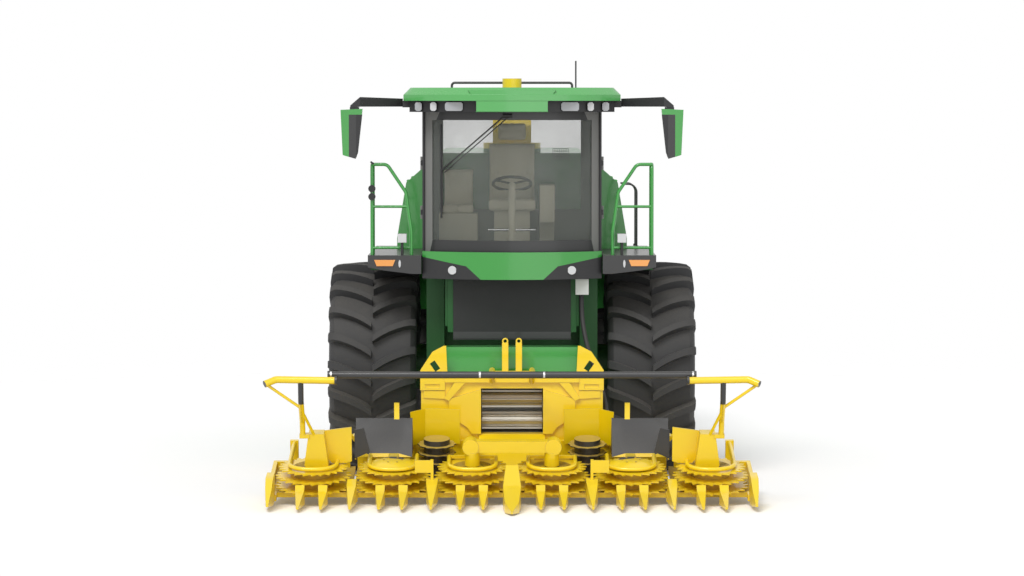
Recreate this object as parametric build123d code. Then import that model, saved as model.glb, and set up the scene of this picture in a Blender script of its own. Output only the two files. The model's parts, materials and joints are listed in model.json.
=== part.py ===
from build123d import *
from math import cos, pi, radians, sin, sqrt, tan
import os

# Self-propelled forage harvester with a six-rotor rotary crop header.
# Millimetres. Forward is -Y, up is +Z. While modelling, the front axle is at y = 0 and the
# ground is at z = 0; the finished pieces are moved along Y so that the origin is under the middle.

# Layout
wheelbase = 3200
front_tip = 4000
rear_end = 4600
running_gap = 0.3
moving_gap = 8

# Front wheels
front_tyre_radius = 1075
front_tyre_width = 900
front_rim_radius = 545
front_track_half = 1400
front_disc_x = 1440
front_lugs = 22
front_lug_width = 62
front_lug_depth = 112

# Rear wheels
rear_tyre_radius = 745
rear_tyre_width = 590
rear_rim_radius = 370
rear_track_half = 1180
rear_disc_x = 1200
rear_lugs = 15
rear_lug_width = 46
rear_lug_depth = 78
kingpin_x = 800
kingpin_radius = 40
kingpin_eye_radius = 75
kingpin_eye_half = 70
knuckle_lug = 50
tie_arm_length = 260
tie_pin_radius = 18
tie_rod_radius = 22
tie_eye_half = 26
tie_eye_radius = 36

# Rims
rim_wall = 14
rim_disc = 24
hub_radius = 95

# Chassis
front_rail_x = 540
rear_rail_x = 330
rail_width = 110
rail_bottom = 980
rail_top = 1280
rail_joint_y = 1700
hitch_y = 4450
bulkhead_y = -520
bulkhead_inner = 680
bulkhead_outer = 860
bulkhead_front = -720
upper_frame_bottom = 2120
cross_beam = 120
front_axle_half = 700
front_axle_depth = 280

# Cab
cab_half = 870
cab_front = -1040
cab_rear = 250
cab_bow = 350
cab_floor_top = 2330
cab_top = 3690
cab_wall = 45
pillar = 80
glass = 8
door_thick = 36
door_rear = 150
door_front = -945
door_hinge_out = 30
door_hinge_radius = 14
window_bottom = 2420
roof_half = 1075
roof_cap_bottom = 3800
roof_recess = 60
roof_recess_front = 110
visor_half = 430
visor_low_half = 350
visor_bottom = 3695
roof_top = 3930
roof_front = -1640
roof_side_front = -1180
roof_rear = 410
rail_over_roof = 50
mirror_y = -1490
mirror_outer = 1681
mirror_inner = 1465
mirror_top = 3722
mirror_bottom = 3232
mirror_depth = 100
antenna_x = 640
antenna_top = 4200

# Platforms, railings and front panels
platform_top = 2270
platform_thick = 50
platform_inner = cab_half + 30
platform_front = -1150
platform_rear = 1100
handrail_radius = 17
handrail_top = 3170
handrail_mid = 2751
handrail_low = 2342
handrail_bend = ((1240, 3170), (1055, 2894), (1000, 2500))
fascia_half = 890
fascia_top = 2310
fascia_bottom = 2040
fascia_side_y = -1170
fascia_bow = 330
fascia_thick = 60
bumper_bottom = 2120
bumper_drop = 35
bumper_front = -1210
fog_lamp_x = 590
fog_lamp_z = 2130
fog_lamp_radius = 42
work_lamp_x = 1090
work_lamp_y = -1180
work_lamp_z = 2440
work_lamp_size = 88
indicator_x = 1262
indicator_z = 2194
roof_lamps = ((571, 175), (775, 62), (925, 68))
curtain_half = 585
curtain_bottom = 1425
curtain_thick = 12

# Rear body
body_front = 350
body_rear = 4380
body_half = 1190
body_waist_z = 2380
body_shoulder_x = body_half - 95
body_shoulder_z = 2955
body_top_x = body_half - 440
body_top = 3260
body_wall = 30
platform_outer = body_half + 240
rail_rear = body_rear - 180
body_step_y = 1150
arch_front = 2200
arch_rear = 4190
arch_top = 1570
skirt_bottom = 1150
side_door_front = 1750
side_door_rear = 4050
side_door_bottom = 1640
side_door_top = 2930
rear_door_half = 780
rear_door_bottom = 1400
rear_door_top = 2950
engine_half = 480
engine_front = 2300
engine_rear = 3850
engine_top = 2350

# Chopper and spout
chopper_half = front_rail_x - rail_width / 2
tower_half = 200
spout_y = 900
turntable_radius = 300
turntable_top = 3300
spout_pivot_y = 1130
spout_pivot_z = 3500
spout_half_width = 170
spout_reach = 400
spout_hinge_radius = 14
flap_pin_radius = 8
spout_end_y = rear_end - spout_reach - moving_gap - spout_hinge_radius
spout_depth = 300
spout_crown_z = 3800
spout_wall = 10
spout_cheek = 22

# Feeder housing and its lift
lift_y = -650
lift_z = 1150
lift_pin_radius = 45
feeder_half = 650
feeder_front = -1950
feeder_rear = -790
feeder_bottom = 450
feeder_top = 1410
throat_half = 300
throat_bottom = 580
throat_top = 1020
throat_depth = 480
roll_radius = 90
roll_core = 72
roll_ribs = 10
roll_y = -1850
roll_centres = {"upper": 902, "lower": 692}
roll_shaft_radius = 25
ram_x = 715
ram_barrel_y = -240
ram_barrel_z = 740
ram_rod_y = -1500
ram_rod_z = 560
ram_radius = 55
ram_rod_radius = 35
ram_pin_radius = 28
rod_eye_slack = 6
ram_barrel_length = 780

# Header, in its own tilted frame: origin on the rotor line, local y backwards
rotor_y = -2950
rotor_z = 262
header_tilt = 10
rotor_pitch = 750
rotor_radius = 365
rotor_top_radius = 330
rotor_drum_radius = 185
rotor_shaft_radius = 55
rotor_disc = 12
rotor_teeth = 24
rotor_tooth_depth = 26
rotor_top = 96
rotor_bottom = -96
floor_top = -118
floor_bottom = -168
floor_front = -160
deck_rear = -2110
back_wall_front = 690
back_wall_rear = 740
back_wall_top = 150
wing_wall_top = -60
drum_x = 720
drum_y = 470
drum_radius = 185
drum_core = 125
drum_waves = 12
drum_top = 235
wing_x = 1500
wing_gap = 10
wing_outer = 2300
wing_hinge_z = 190
wing_hinge_radius = 34
guard_tube = 20
guard_radius = 222
guard_bend = 190
guard_z = rotor_top + 30
cover_bottom = rotor_top + 8
cross_z = 292
cross_half = 390
cross_size = 110
strut_x = 340
shield_front = 250
shield_rear = 450
shield_bottom = 112
shield_top = 440
shield_inner = 950
pedestal_x = 1842
pedestal_top = 430
pedestal_half = 80
panel_y = 60
panel_thick = 14
bar_radius = 33
bar_z = 1245
bar_y = -3300
bar_half = 1720
wing_bar_y = -272
wing_bar_z = 1000
post_radius = 26
post_x = 2.5 * rotor_pitch + 93
wing_pin_radius = 16
finger_offset = 107
frame_beam = 36
frame_beam_z = 1108

# The hydraulic hose from the coupler box to the header: its route, chosen by hand
hose_diameter = 44
hose_route = [
    (690, -1175, 1880),
    (690, -1175, 1760),
    (702, -1225, 1590),
    (735, -1335, 1410),
    (785, -1500, 1240),
    (838, -1690, 1090),
    (884, -1865, 965),
    (913, -1990, 840),
    (918, -2050, 710),
    (918, -2050, 600),
]
coupler_box = ((630, 760), (-1240, -1110), (1880, 2035))
hose_block = ((880, 950), (-2110, -2000), (480, 600))

origin_shift = (front_tip - rear_end) / 2
place = Pos(0, origin_shift, 0)
header_place = Pos(0, rotor_y, rotor_z) * Rot(header_tilt, 0, 0)


def block(x, y, z):
    """A box between the given (low, high) pairs."""
    size = [b - a for a, b in (x, y, z)]
    return Pos((x[0] + x[1]) / 2, (y[0] + y[1]) / 2, (z[0] + z[1]) / 2) * Box(*size)


def side_profile(points, x_low, x_high):
    """A plate whose outline is given as (y, z), between two x."""
    face = make_face(Polyline(*points, close=True))
    return extrude(Plane.YZ.offset(x_low) * face, x_high - x_low)


def front_profile(points, y_low, y_high):
    """A plate whose outline is given as (x, z), between two y."""
    face = make_face(Polyline(*points, close=True))
    return extrude(Plane((0, y_high, 0), (1, 0, 0), (0, -1, 0)) * face, y_high - y_low)


def top_profile(points, z_low, z_high):
    """A plate whose outline is given as (x, y), between two z."""
    face = make_face(Polyline(*points, close=True))
    return extrude(Plane.XY.offset(z_low) * face, z_high - z_low)


def rod(start, end, radius):
    """A round bar between two points."""
    run = Vector(end) - Vector(start)
    return Plane(origin=start, z_dir=run) * Cylinder(
        radius, run.length, align=(Align.CENTER, Align.CENTER, Align.MIN)
    )


def tube(points, radius, bend=0):
    """A round bar along straight runs with rounded corners."""
    path = FilletPolyline(*points, radius=bend) if bend and len(points) > 2 else Polyline(*points)
    start = Plane(origin=path @ 0, z_dir=path % 0)
    return sweep(start * Circle(radius), path=path)


def cord_tube(points, diameter):
    """A free hose: straight runs joined by arcs as large as the runs allow."""
    points = [Vector(point) for point in points]
    radii = []
    for before, here, after in zip(points, points[1:], points[2:]):
        turn = (here - before).get_angle(after - here)
        shorter = min((here - before).length, (after - here).length)
        radii.append(0.45 * shorter / tan(radians(turn / 2)))
    path = FilletPolyline(*points, radius=radii)
    body = sweep(Plane(origin=path @ 0, z_dir=path % 0) * Circle(diameter / 2), path=path)
    print("hose radii", [round(r) for r in radii], "length", round(path.length))
    print("volume share", body.volume / (pi * diameter**2 / 4 * path.length))
    return body


def both_sides(piece):
    """The piece and its mirror image across the centre plane."""
    return [piece, mirror(piece, Plane.YZ)]


def apart(pieces):
    """Pieces that don't touch, kept as separate solids of one node."""
    whole = pieces[0]
    for piece in pieces[1:]:
        whole += piece
    return whole


def lathe_x(points, centre_y, centre_z):
    """A ring about an axis along X; the outline is given as (x, radius)."""
    face = make_face(Polyline(*points, close=True))
    ring = revolve(Plane.XY * face, Axis.X)
    return Pos(0, centre_y, centre_z) * ring


def lathe_z(points):
    """A ring about Z; the outline is given as (radius, z)."""
    face = make_face(Polyline(*points, close=True))
    return revolve(Plane.XZ * face, Axis.Z)


tyre_sections = (
    # share of the half width, share of the radius
    (-1, 0.84),
    (-0.88, 0.945),
    (0.88, 0.945),
    (1, 0.84),
)


def tyre(radius, width, rim_radius, lugs, lug_width, lug_depth):
    """A tyre about the X axis: a many-sided carcass with bent lugs, those of one half between those of
    the other. It stands at its radius on the corners of two lugs, and the lugs rise from the middle of
    the tread to the shoulders at the front."""
    half = width / 2
    step = 180 / lugs
    reach = 0.65 * step
    tip = radius / cos(radians(step - reach))
    top = tip * cos(radians(reach))
    span = tip * sin(radians(reach))

    def ring(share, size, major=True):
        return Plane.YZ.offset(share * half) * RegularPolygon(size, 2 * lugs, major_radius=major)

    carcass = loft([ring(share, size * radius) for share, size in tyre_sections], ruled=True)
    carcass -= loft(
        [
            ring(-1.01, 0.7 * radius),
            ring(-0.78, rim_radius, major=False),
            ring(0.78, rim_radius, major=False),
            ring(1.01, 0.7 * radius),
        ],
        ruled=True,
    )
    outline = [
        (5, -span),
        (5, lug_width - span),
        (0.42 * half, 0.5 * span),
        (0.86 * half, span),
        (0.86 * half, span - 1.1 * lug_width),
    ]
    tread = Plane((0, 0, -top), (1, 0, 0), (0, 0, -1))
    lug = extrude(tread * make_face(Polyline(*outline, close=True)), -lug_depth)
    other = mirror(lug, Plane.YZ)
    blocks = []
    for number in range(lugs):
        blocks.append(Rot(2 * step * number, 0, 0) * lug)
        blocks.append(Rot(2 * step * (number + 0.5), 0, 0) * other)
    return carcass + blocks


def rim(rim_radius, width, x, y, z, disc_x, bore):
    """A dished rim: its barrel carries the tyre and its disc sits on the hub."""
    half = 0.82 * width / 2
    inner = rim_radius - rim_wall
    barrel = lathe_x(
        [(x - half, inner), (x - half, rim_radius), (x + half, rim_radius), (x + half, inner)], y, z
    )
    cone = 0.16 * rim_radius
    disc = lathe_x(
        [
            (disc_x, bore),
            (disc_x, 0.5 * rim_radius),
            (disc_x + cone, 0.72 * rim_radius),
            (disc_x + cone, inner + 2),
            (disc_x + cone + rim_disc, inner + 2),
            (disc_x + cone + rim_disc, 0.7 * rim_radius),
            (disc_x + rim_disc, 0.48 * rim_radius),
            (disc_x + rim_disc, bore),
        ],
        y,
        z,
    )
    return barrel + disc


def bowed_outline(half, side_y, bow, rear_y):
    """A plan outline with a straight rear and sides and a round front."""
    rear = Polyline((-half, side_y), (-half, rear_y), (half, rear_y), (half, side_y))
    front = ThreePointArc((half, side_y), (0, side_y - bow), (-half, side_y))
    return make_face(rear + front)


def bowed_prism(half, side_y, bow, rear_y, z_low, z_high):
    """A bowed outline raised between two z."""
    return extrude(Plane.XY.offset(z_low) * bowed_outline(half, side_y, bow, rear_y), z_high - z_low)


def bow_y(half, side_y, bow, x):
    """Where the round front of a bowed outline lies at x."""
    radius = (half**2 + bow**2) / (2 * bow)
    return side_y - bow + radius - sqrt(radius**2 - x**2)


def toothed_plate(radius, depth, teeth, low, thick):
    """A plate about Z whose rim has saw teeth."""
    points = []
    for number in range(teeth):
        for turn, reach in ((0, radius), (0.3, radius - depth)):
            angle = 2 * pi * (number + turn) / teeth
            points.append((reach * cos(angle), reach * sin(angle)))
    return top_profile(points, low, low + thick)


def make_wheels():
    """Four tyres on their rims, named left and right as seen from the seat."""
    front = (
        front_tyre_radius, front_tyre_width, front_rim_radius,
        front_lugs, front_lug_width, front_lug_depth,
    )
    rear = (rear_tyre_radius, rear_tyre_width, rear_rim_radius, rear_lugs, rear_lug_width, rear_lug_depth)
    made = {}
    for name, sizes, x, y, disc_x in (
        ("front", front, front_track_half, 0, front_disc_x),
        ("rear", rear, rear_track_half, wheelbase, rear_disc_x),
    ):
        radius, width, rim_radius = sizes[:3]
        rubber = Pos(x, y, radius) * tyre(*sizes)
        steel = rim(rim_radius, width, x, y, radius, disc_x, hub_radius + running_gap)
        for side, piece in zip("lr", both_sides(rubber)):
            made[f"{name}_tyre_{side}"] = piece
        for side, piece in zip("lr", both_sides(steel)):
            made[f"{name}_rim_{side}"] = piece
    return made


def stub_axle(from_x, radius, disc_x, y, z):
    """A hub flange that the rim's disc sits against, with its spigot through the rim's bore."""
    flange = rod((from_x, y, z), (disc_x - running_gap, y, z), radius)
    spigot = rod((disc_x - 1, y, z), (disc_x + rim_disc + 20, y, z), hub_radius)
    return flange + spigot


def make_front_axle():
    """The beam under the rails, with a drop box and a hub at each end."""
    z = front_tyre_radius
    half_beam = 130
    beam = block(
        (-front_axle_half, front_axle_half),
        (-half_beam, half_beam),
        (rail_bottom - front_axle_depth, rail_bottom),
    )
    drop_box = block((640, 860), (-170, 170), (rail_bottom - front_axle_depth, z + 190))
    hub = rod((859, 0, z), (1200, 0, z), 230) + stub_axle(1199, 190, front_disc_x, 0, z)
    ram_bracket = side_profile(
        [
            (-half_beam, ram_barrel_z - 40),
            (ram_barrel_y - 50, ram_barrel_z - 40),
            (ram_barrel_y - 50, ram_barrel_z + 40),
            (-half_beam, ram_barrel_z + 120),
        ],
        ram_x - 90,
        ram_x - 62,
    )
    ram_pin = rod(
        (ram_x - 80, ram_barrel_y, ram_barrel_z), (ram_x + 45, ram_barrel_y, ram_barrel_z), ram_pin_radius
    )
    side = drop_box + hub + ram_bracket + ram_pin
    return {"front_axle": beam + side + mirror(side, Plane.YZ)}


def make_rear_axle():
    """The steered axle: its beam under the rails, the knuckles on their kingpins and the tie rod."""
    y, z = wheelbase, rear_tyre_radius
    half_beam = 80
    beam = block((-kingpin_x + 40, kingpin_x - 40), (y - half_beam, y + half_beam), (z - 60, z + 60))
    saddle = side_profile(
        [(y - 90, z + 50), (y - 200, rail_bottom), (y + 200, rail_bottom), (y + 90, z + 50)],
        -rear_rail_x - rail_width / 2,
        rear_rail_x + rail_width / 2,
    )
    eye_height = 2 * kingpin_eye_half
    eye = Pos(kingpin_x, y, z) * Cylinder(kingpin_eye_radius, eye_height)
    bore = Pos(kingpin_x, y, z) * Cylinder(kingpin_radius + running_gap, eye_height + 2)
    axle = beam + saddle
    for piece in both_sides(eye):
        axle += piece
    for piece in both_sides(bore):
        axle -= piece

    lug_low = kingpin_eye_half + running_gap
    plate_x = kingpin_x + kingpin_eye_radius + moving_gap
    knuckle = Pos(kingpin_x, y, z) * Cylinder(kingpin_radius, 2 * (lug_low + knuckle_lug))
    for low in (z + lug_low, z - lug_low - knuckle_lug):
        knuckle += Pos(kingpin_x, y, low + knuckle_lug / 2) * Cylinder(kingpin_eye_radius, knuckle_lug)
        knuckle += block((kingpin_x, plate_x + 20), (y - 60, y + 60), (low, low + knuckle_lug))
    plate_half = lug_low + knuckle_lug
    knuckle += block((plate_x, plate_x + 25), (y - 90, y + 90), (z - plate_half, z + plate_half))
    knuckle += stub_axle(plate_x + 20, 120, rear_disc_x, y, z)

    arm_low = z - lug_low - knuckle_lug
    arm_y = y - tie_arm_length
    arm = block((kingpin_x - 35, kingpin_x + 35), (arm_y, y - 40), (arm_low, arm_low + 30))
    arm += Pos(kingpin_x, arm_y, arm_low + 15) * Cylinder(35, 30)
    pin_top = arm_low + 30 + running_gap + 2 * tie_eye_half
    arm += Pos(kingpin_x, arm_y, (arm_low + pin_top) / 2) * Cylinder(tie_pin_radius, pin_top - arm_low)
    knuckle += arm

    rod_z = arm_low + 30 + running_gap + tie_eye_half
    rod_half = kingpin_x - (tie_pin_radius + tie_eye_radius) / 2
    tie = rod((-rod_half, arm_y, rod_z), (rod_half, arm_y, rod_z), tie_rod_radius)
    for x in (-kingpin_x, kingpin_x):
        eye = Cylinder(tie_eye_radius, 2 * tie_eye_half)
        tie += Pos(x, arm_y, rod_z) * (eye - Cylinder(tie_pin_radius + running_gap, 3 * tie_eye_half))
    left, right = both_sides(knuckle)
    return {"rear_axle": axle, "knuckle_l": left, "knuckle_r": right, "tie_rod": tie}


def make_main_frame():
    """Rails, the bulkhead legs that carry the feeder pins, and the upper frame under cab and platforms."""
    half_rail = rail_width / 2
    frame = block((-front_rail_x - half_rail, front_rail_x + half_rail), (rail_joint_y, rail_joint_y + 160),
                  (rail_bottom, rail_top))
    frame += block((-bulkhead_inner - 1, bulkhead_inner + 1), (bulkhead_y - 40, bulkhead_y + 40),
                   (rail_bottom, rail_bottom + cross_beam))
    beams = [
        (platform_front + 40, platform_front + 40 + cross_beam, platform_outer - 30),
        (bulkhead_front, bulkhead_front + cross_beam, bulkhead_outer),
        (880, 880 + cross_beam, platform_outer - 30),
    ]
    under_platform = platform_top - platform_thick
    for y_low, y_high, half in beams:
        frame += block((-half, half), (y_low, y_high), (upper_frame_bottom, under_platform))
    side = block((front_rail_x - half_rail, front_rail_x + half_rail), (bulkhead_y, rail_joint_y + 1),
                 (rail_bottom, rail_top))
    side += block((rear_rail_x - half_rail, rear_rail_x + half_rail), (rail_joint_y + 1, rail_rear),
                  (rail_bottom, rail_top))
    side += block((front_rail_x - 50, front_rail_x + 50), (beams[0][0], beams[2][1]),
                  (upper_frame_bottom, under_platform))
    side += block((front_rail_x - 50, front_rail_x + 50), (beams[2][0], beams[2][1]),
                  (rail_top - 1, upper_frame_bottom + 1))
    side += block((bulkhead_inner, bulkhead_outer), (bulkhead_front, bulkhead_y + 40),
                  (900, upper_frame_bottom + 1))
    side += block((curtain_half - 25, curtain_half + 55), (beams[0][0], beams[0][0] + 80),
                  (curtain_bottom + 75, upper_frame_bottom + 1))
    side += rod((feeder_half - 60, lift_y, lift_z), (bulkhead_inner + 1, lift_y, lift_z), lift_pin_radius)
    frame += side + mirror(side, Plane.YZ)
    frame -= block((-tower_half, tower_half), (spout_y - tower_half, spout_y + tower_half), (1949, body_top))
    hitch = block((-200, 200), (rail_rear - 60, rail_rear), (620, rail_bottom))
    hitch += block((-rear_rail_x, rear_rail_x), (rail_rear - 60, rail_rear), (rail_bottom - 1, rail_top))
    for low in (640, 740):
        hitch += block((-60, 60), (rail_rear - 1, hitch_y + 60), (low, low + 35))
    hitch -= Pos(0, hitch_y, 700) * Cylinder(20, 400)
    return {"main_frame": frame + hitch}


def make_engine():
    return {
        "engine": block((-engine_half, engine_half), (engine_front, engine_rear), (rail_top, engine_top))
    }


def make_chopper():
    """The chopper and blower between the rails, with the tower that carries the spout's turntable."""
    tower_front, tower_rear = spout_y - tower_half, spout_y + tower_half
    lower = side_profile(
        [
            (bulkhead_y + 40, rail_bottom),
            (bulkhead_y + 40, 1500),
            (300, 1750),
            (tower_front, 1950),
            (tower_rear, 1950),
            (tower_rear, 1400),
            (600, rail_bottom),
        ],
        -chopper_half,
        chopper_half,
    )
    tower = block((-tower_half, tower_half), (tower_front, tower_rear), (1949, body_top + 1))
    ring = Pos(0, spout_y, (body_top + turntable_top) / 2) * Cylinder(
        turntable_radius, turntable_top - body_top
    )
    return {"chopper_housing": lower + tower + ring}


def body_outline(inset):
    """Half sections of the rear body as (x, z), closed below; inset by the panel's thickness."""
    right = [
        (body_half - inset, skirt_bottom - 5 * bool(inset)),
        (body_half - inset, body_waist_z),
        (body_shoulder_x - inset, body_shoulder_z - 0.3 * inset),
        (body_top_x - 0.5 * inset, body_top - inset),
    ]
    return right + [(-x, z) for x, z in reversed(right)]


def side_door_solid(gap):
    """The stretch of the body's side that the side door takes, wider by a gap all round."""
    return block(
        (0, body_half + 1),
        (side_door_front - gap, side_door_rear + gap),
        (side_door_bottom - gap, side_door_top + gap),
    )


def make_rear_body():
    """The engine cover: a hollow shell with wheel arches, side doors hinged at the top and a rear door."""
    outer = front_profile(body_outline(0), body_front, body_rear)
    inner = front_profile(body_outline(body_wall), body_front + body_wall, body_rear - body_wall)
    shell = outer - inner
    side_panels = shell & side_door_solid(0)
    shell -= block((-2000, 2000), (body_front - 1, body_step_y), (skirt_bottom - 10, platform_top))
    shell -= block((-2000, 2000), (arch_front, arch_rear), (skirt_bottom - 10, arch_top))
    shell -= Pos(0, spout_y, body_top) * Box(2 * tower_half, 2 * tower_half, 4 * body_wall)
    door_hole = side_door_solid(moving_gap)
    shell -= door_hole
    shell -= mirror(door_hole, Plane.YZ)
    rear_face = (body_rear - body_wall, body_rear)
    shell -= block(
        (-rear_door_half - moving_gap, rear_door_half + moving_gap),
        (body_rear - 2 * body_wall, body_rear + 1),
        (rear_door_bottom - moving_gap, rear_door_top + moving_gap),
    )
    top_x = body_shoulder_x + (body_half - body_shoulder_x) * (body_shoulder_z - side_door_top - 20) / (
        body_shoulder_z - body_waist_z
    )
    hinge_line = (top_x + door_hinge_radius + 2 * moving_gap, side_door_top + moving_gap / 2)
    door = side_panels
    for y in (side_door_front + 300, side_door_rear - 300):
        fixed, moving = panel_hinge(hinge_line[0], y, hinge_line[1])
        shell += fixed + mirror(fixed, Plane.YZ)
        door += moving
    left, right = both_sides(door)
    back = block((-rear_door_half, rear_door_half), rear_face, (rear_door_bottom, rear_door_top))
    for row in range(5):
        low = rear_door_bottom + 120 + row * 270
        back -= block((-rear_door_half + 110, rear_door_half - 110), (body_rear - 70, body_rear + 5),
                      (low, low + 200))
    slat = block((-rear_door_half + 100, rear_door_half - 100), (body_rear - 20, body_rear - 12),
                 (rear_door_bottom + 100, rear_door_top - 100))
    back += slat
    hinge_x = rear_door_half + moving_gap / 2
    for z in (rear_door_bottom + 250, rear_door_top - 250):
        line = Pos(hinge_x, body_rear + door_hinge_radius + 2, z)
        back += line * Cylinder(door_hinge_radius, 50) - line * Cylinder(8 + running_gap, 60)
        back += block((hinge_x - 60, hinge_x - 9), (body_rear - 1, body_rear + 12), (z - 24, z + 24))
        for centre in (z - 52, z + 52):
            post = Pos(hinge_x, body_rear + door_hinge_radius + 2, centre)
            shell += post * Cylinder(door_hinge_radius, 50)
            shell += block((hinge_x + 4, hinge_x + 60), (body_rear - 1, body_rear + 12),
                           (centre - 24, centre + 24))
        shell += line * Cylinder(8, 140)
    return {"rear_body": shell, "side_door_l": left, "side_door_r": right, "rear_door": back}


def panel_hinge(x, y, z):
    """A hinge along Y above a side door: two eyes with their pin, and the middle eye on the door."""
    along = Plane(origin=(x, y, z), z_dir=(0, 1, 0))
    fixed = along * Cylinder(8, 150)
    for offset in (-55, 55):
        fixed += along * Pos(0, 0, offset) * Cylinder(door_hinge_radius, 50)
        fixed += block((x - 50, x), (y + offset - 25, y + offset + 25), (z + 4, z + 14))
    moving = along * Cylinder(door_hinge_radius, 54) - along * Cylinder(8 + running_gap, 60)
    moving += block((x - 34, x - 9), (y - 27, y + 27), (z - 30, z - 6))
    return fixed, moving


def make_cab():
    """The cab: a bowed shell with its windows cut, two doors, glass and the roof."""
    floor_low = platform_top - platform_thick
    shell = bowed_prism(cab_half, cab_front, cab_bow, cab_rear, floor_low, cab_top)
    inside = bowed_prism(
        cab_half - cab_wall, cab_front + 10, cab_bow - cab_wall + 10, cab_rear - cab_wall,
        cab_floor_top, cab_top - cab_wall,
    )
    shell -= inside
    window_top = cab_top - pillar
    front_cut = block((-cab_half + pillar, cab_half - pillar), (-2000, cab_front + 20),
                      (window_bottom, window_top))
    front_cut += block((-cab_half + pillar, cab_half - pillar), (cab_front, cab_front + 60),
                       (window_bottom, window_top))
    rear_cut = block((-cab_half + 2 * pillar, cab_half - 2 * pillar),
                     (cab_rear - 2 * cab_wall, cab_rear + 1), (cab_floor_top + 350, window_top))
    shell -= front_cut
    shell -= rear_cut
    door_low = cab_floor_top + 10
    door_cut = block((cab_half - 2 * cab_wall, cab_half + 1), (door_front, door_rear),
                     (door_low, window_top))
    for piece in both_sides(door_cut):
        shell -= piece
    windscreen = bowed_prism(cab_half - 12, cab_front, cab_bow - 12, cab_rear, window_bottom, window_top)
    windscreen -= bowed_prism(cab_half - 12 - glass, cab_front + 2, cab_bow - 10 - glass, cab_rear + 1,
                              window_bottom - 1, window_top + 1)
    windscreen &= front_cut
    rear_glass = rear_cut & block((-cab_half, cab_half), (cab_rear - 25 - glass, cab_rear - 25),
                                  (cab_floor_top, cab_top))

    gap = moving_gap
    door = block((cab_half - door_thick, cab_half), (door_front + gap, door_rear - gap),
                 (door_low + gap, window_top - gap))
    pane_y = (door_front + gap + 55, door_rear - gap - 55)
    pane_z = (door_low + gap + 90, window_top - gap - 55)
    door -= block((cab_half - 2 * door_thick, cab_half + 1), pane_y, pane_z)
    pane = block((cab_half - door_thick / 2 - glass / 2, cab_half - door_thick / 2 + glass / 2),
                 pane_y, pane_z)
    hinge_x, hinge_y = cab_half + door_hinge_out, door_front - 15
    for z in (2690, 3180):
        line = Pos(hinge_x, hinge_y, z)
        shell_side = line * Cylinder(8, 130)
        for centre in (z - 46, z + 46):
            shell_side += Pos(hinge_x, hinge_y, centre) * Cylinder(door_hinge_radius, 38)
            shell_side += block((cab_half - 1, hinge_x), (hinge_y - 14, hinge_y), (centre - 19, centre + 19))
        for piece in both_sides(shell_side):
            shell += piece
        door += line * Cylinder(door_hinge_radius, 50) - line * Cylinder(8 + running_gap, 60)
        door += block((hinge_x - 22, hinge_x - 10), (hinge_y, hinge_y + 45), (z - 24, z + 24))
        door += block((cab_half - 1, hinge_x - 10), (door_front + gap + 5, hinge_y + 45),
                      (z - 24, z + 24))
    doors = both_sides(door)
    panes = both_sides(pane)

    return {
        "cab_shell": shell,
        "cab_glass": windscreen + rear_glass,
        "cab_door_l": doors[0],
        "cab_door_r": doors[1],
        "door_glass_l": panes[0],
        "door_glass_r": panes[1],
        "cab_roof": make_roof(),
    }


def make_roof():
    """The roof: a wide cap over a recess for the lamps, with the visor in the middle of its front."""
    bow = roof_side_front - roof_front
    cap = bowed_prism(roof_half, roof_side_front, bow, roof_rear, roof_cap_bottom, roof_top)
    cap = chamfer(cap.faces().sort_by(Axis.Z)[-1].edges(), 70)
    visor = front_profile(
        [
            (-visor_half, roof_top - 25),
            (visor_half, roof_top - 25),
            (visor_low_half, roof_cap_bottom - 10),
            (visor_low_half, visor_bottom),
            (-visor_low_half, visor_bottom),
            (-visor_low_half, roof_cap_bottom - 10),
        ],
        roof_front,
        roof_side_front,
    )
    visor &= bowed_prism(roof_half, roof_side_front, bow - 4, roof_rear, visor_bottom - 1, roof_top)
    return cap + roof_core() + visor


def roof_core():
    """The recessed lower part of the roof, which the lamps stand on."""
    bow = roof_side_front - roof_front - roof_recess_front
    half = roof_half - roof_recess
    return bowed_prism(half, roof_side_front, bow, roof_rear - roof_recess, cab_top, roof_cap_bottom + 1)


def make_cab_inside():
    """Seats and controls on the cab floor."""
    floor = cab_floor_top
    cushions = [
        block((-260, 260), (-640, -110), (floor + 360, floor + 480)),
        block((-260, 260), (-105, 15), (floor + 400, floor + 1060)),
        block((-150, 150), (-90, 0), (floor + 1060.3, floor + 1250)),
        block((150 - cab_half, 500 - cab_half), (-420, -105.3), (floor + 330, floor + 420)),
        block((150 - cab_half, 500 - cab_half), (-105, -25), (floor + 330, floor + 800)),
    ]
    seats = apart(cushions)
    hard = block((-180, 180), (-520, -150), (floor, floor + 359.7))
    hard += block((-60, 60), (15.3, 60), (floor + 300, floor + 900))
    hard += block((-180, 180), (-151, 60), (floor, floor + 301))
    hard += block((130 - cab_half, 520 - cab_half), (-430, -20), (floor, floor + 329.7))
    hard += block((280, 430), (-620, 100), (floor + 250, floor + 620))
    hard += block((280, 430), (-200, 60), (floor, floor + 251))
    column_top = (0, -760, floor + 640)
    hard += rod((0, -1020, floor - 1), column_top, 35)
    hard -= block((-cab_half, cab_half), (cab_front, cab_rear), (floor - 100, floor))
    hub = Plane(origin=column_top, z_dir=(0, 260, 640))
    wheel = hub * Torus(190, 15)
    for turn in (0, 120, 240):
        wheel += hub * Rot(0, 0, turn) * Pos(95, 0, 0) * Box(195, 24, 12)
    return {"seats": seats, "cab_controls": hard + wheel}


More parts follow.
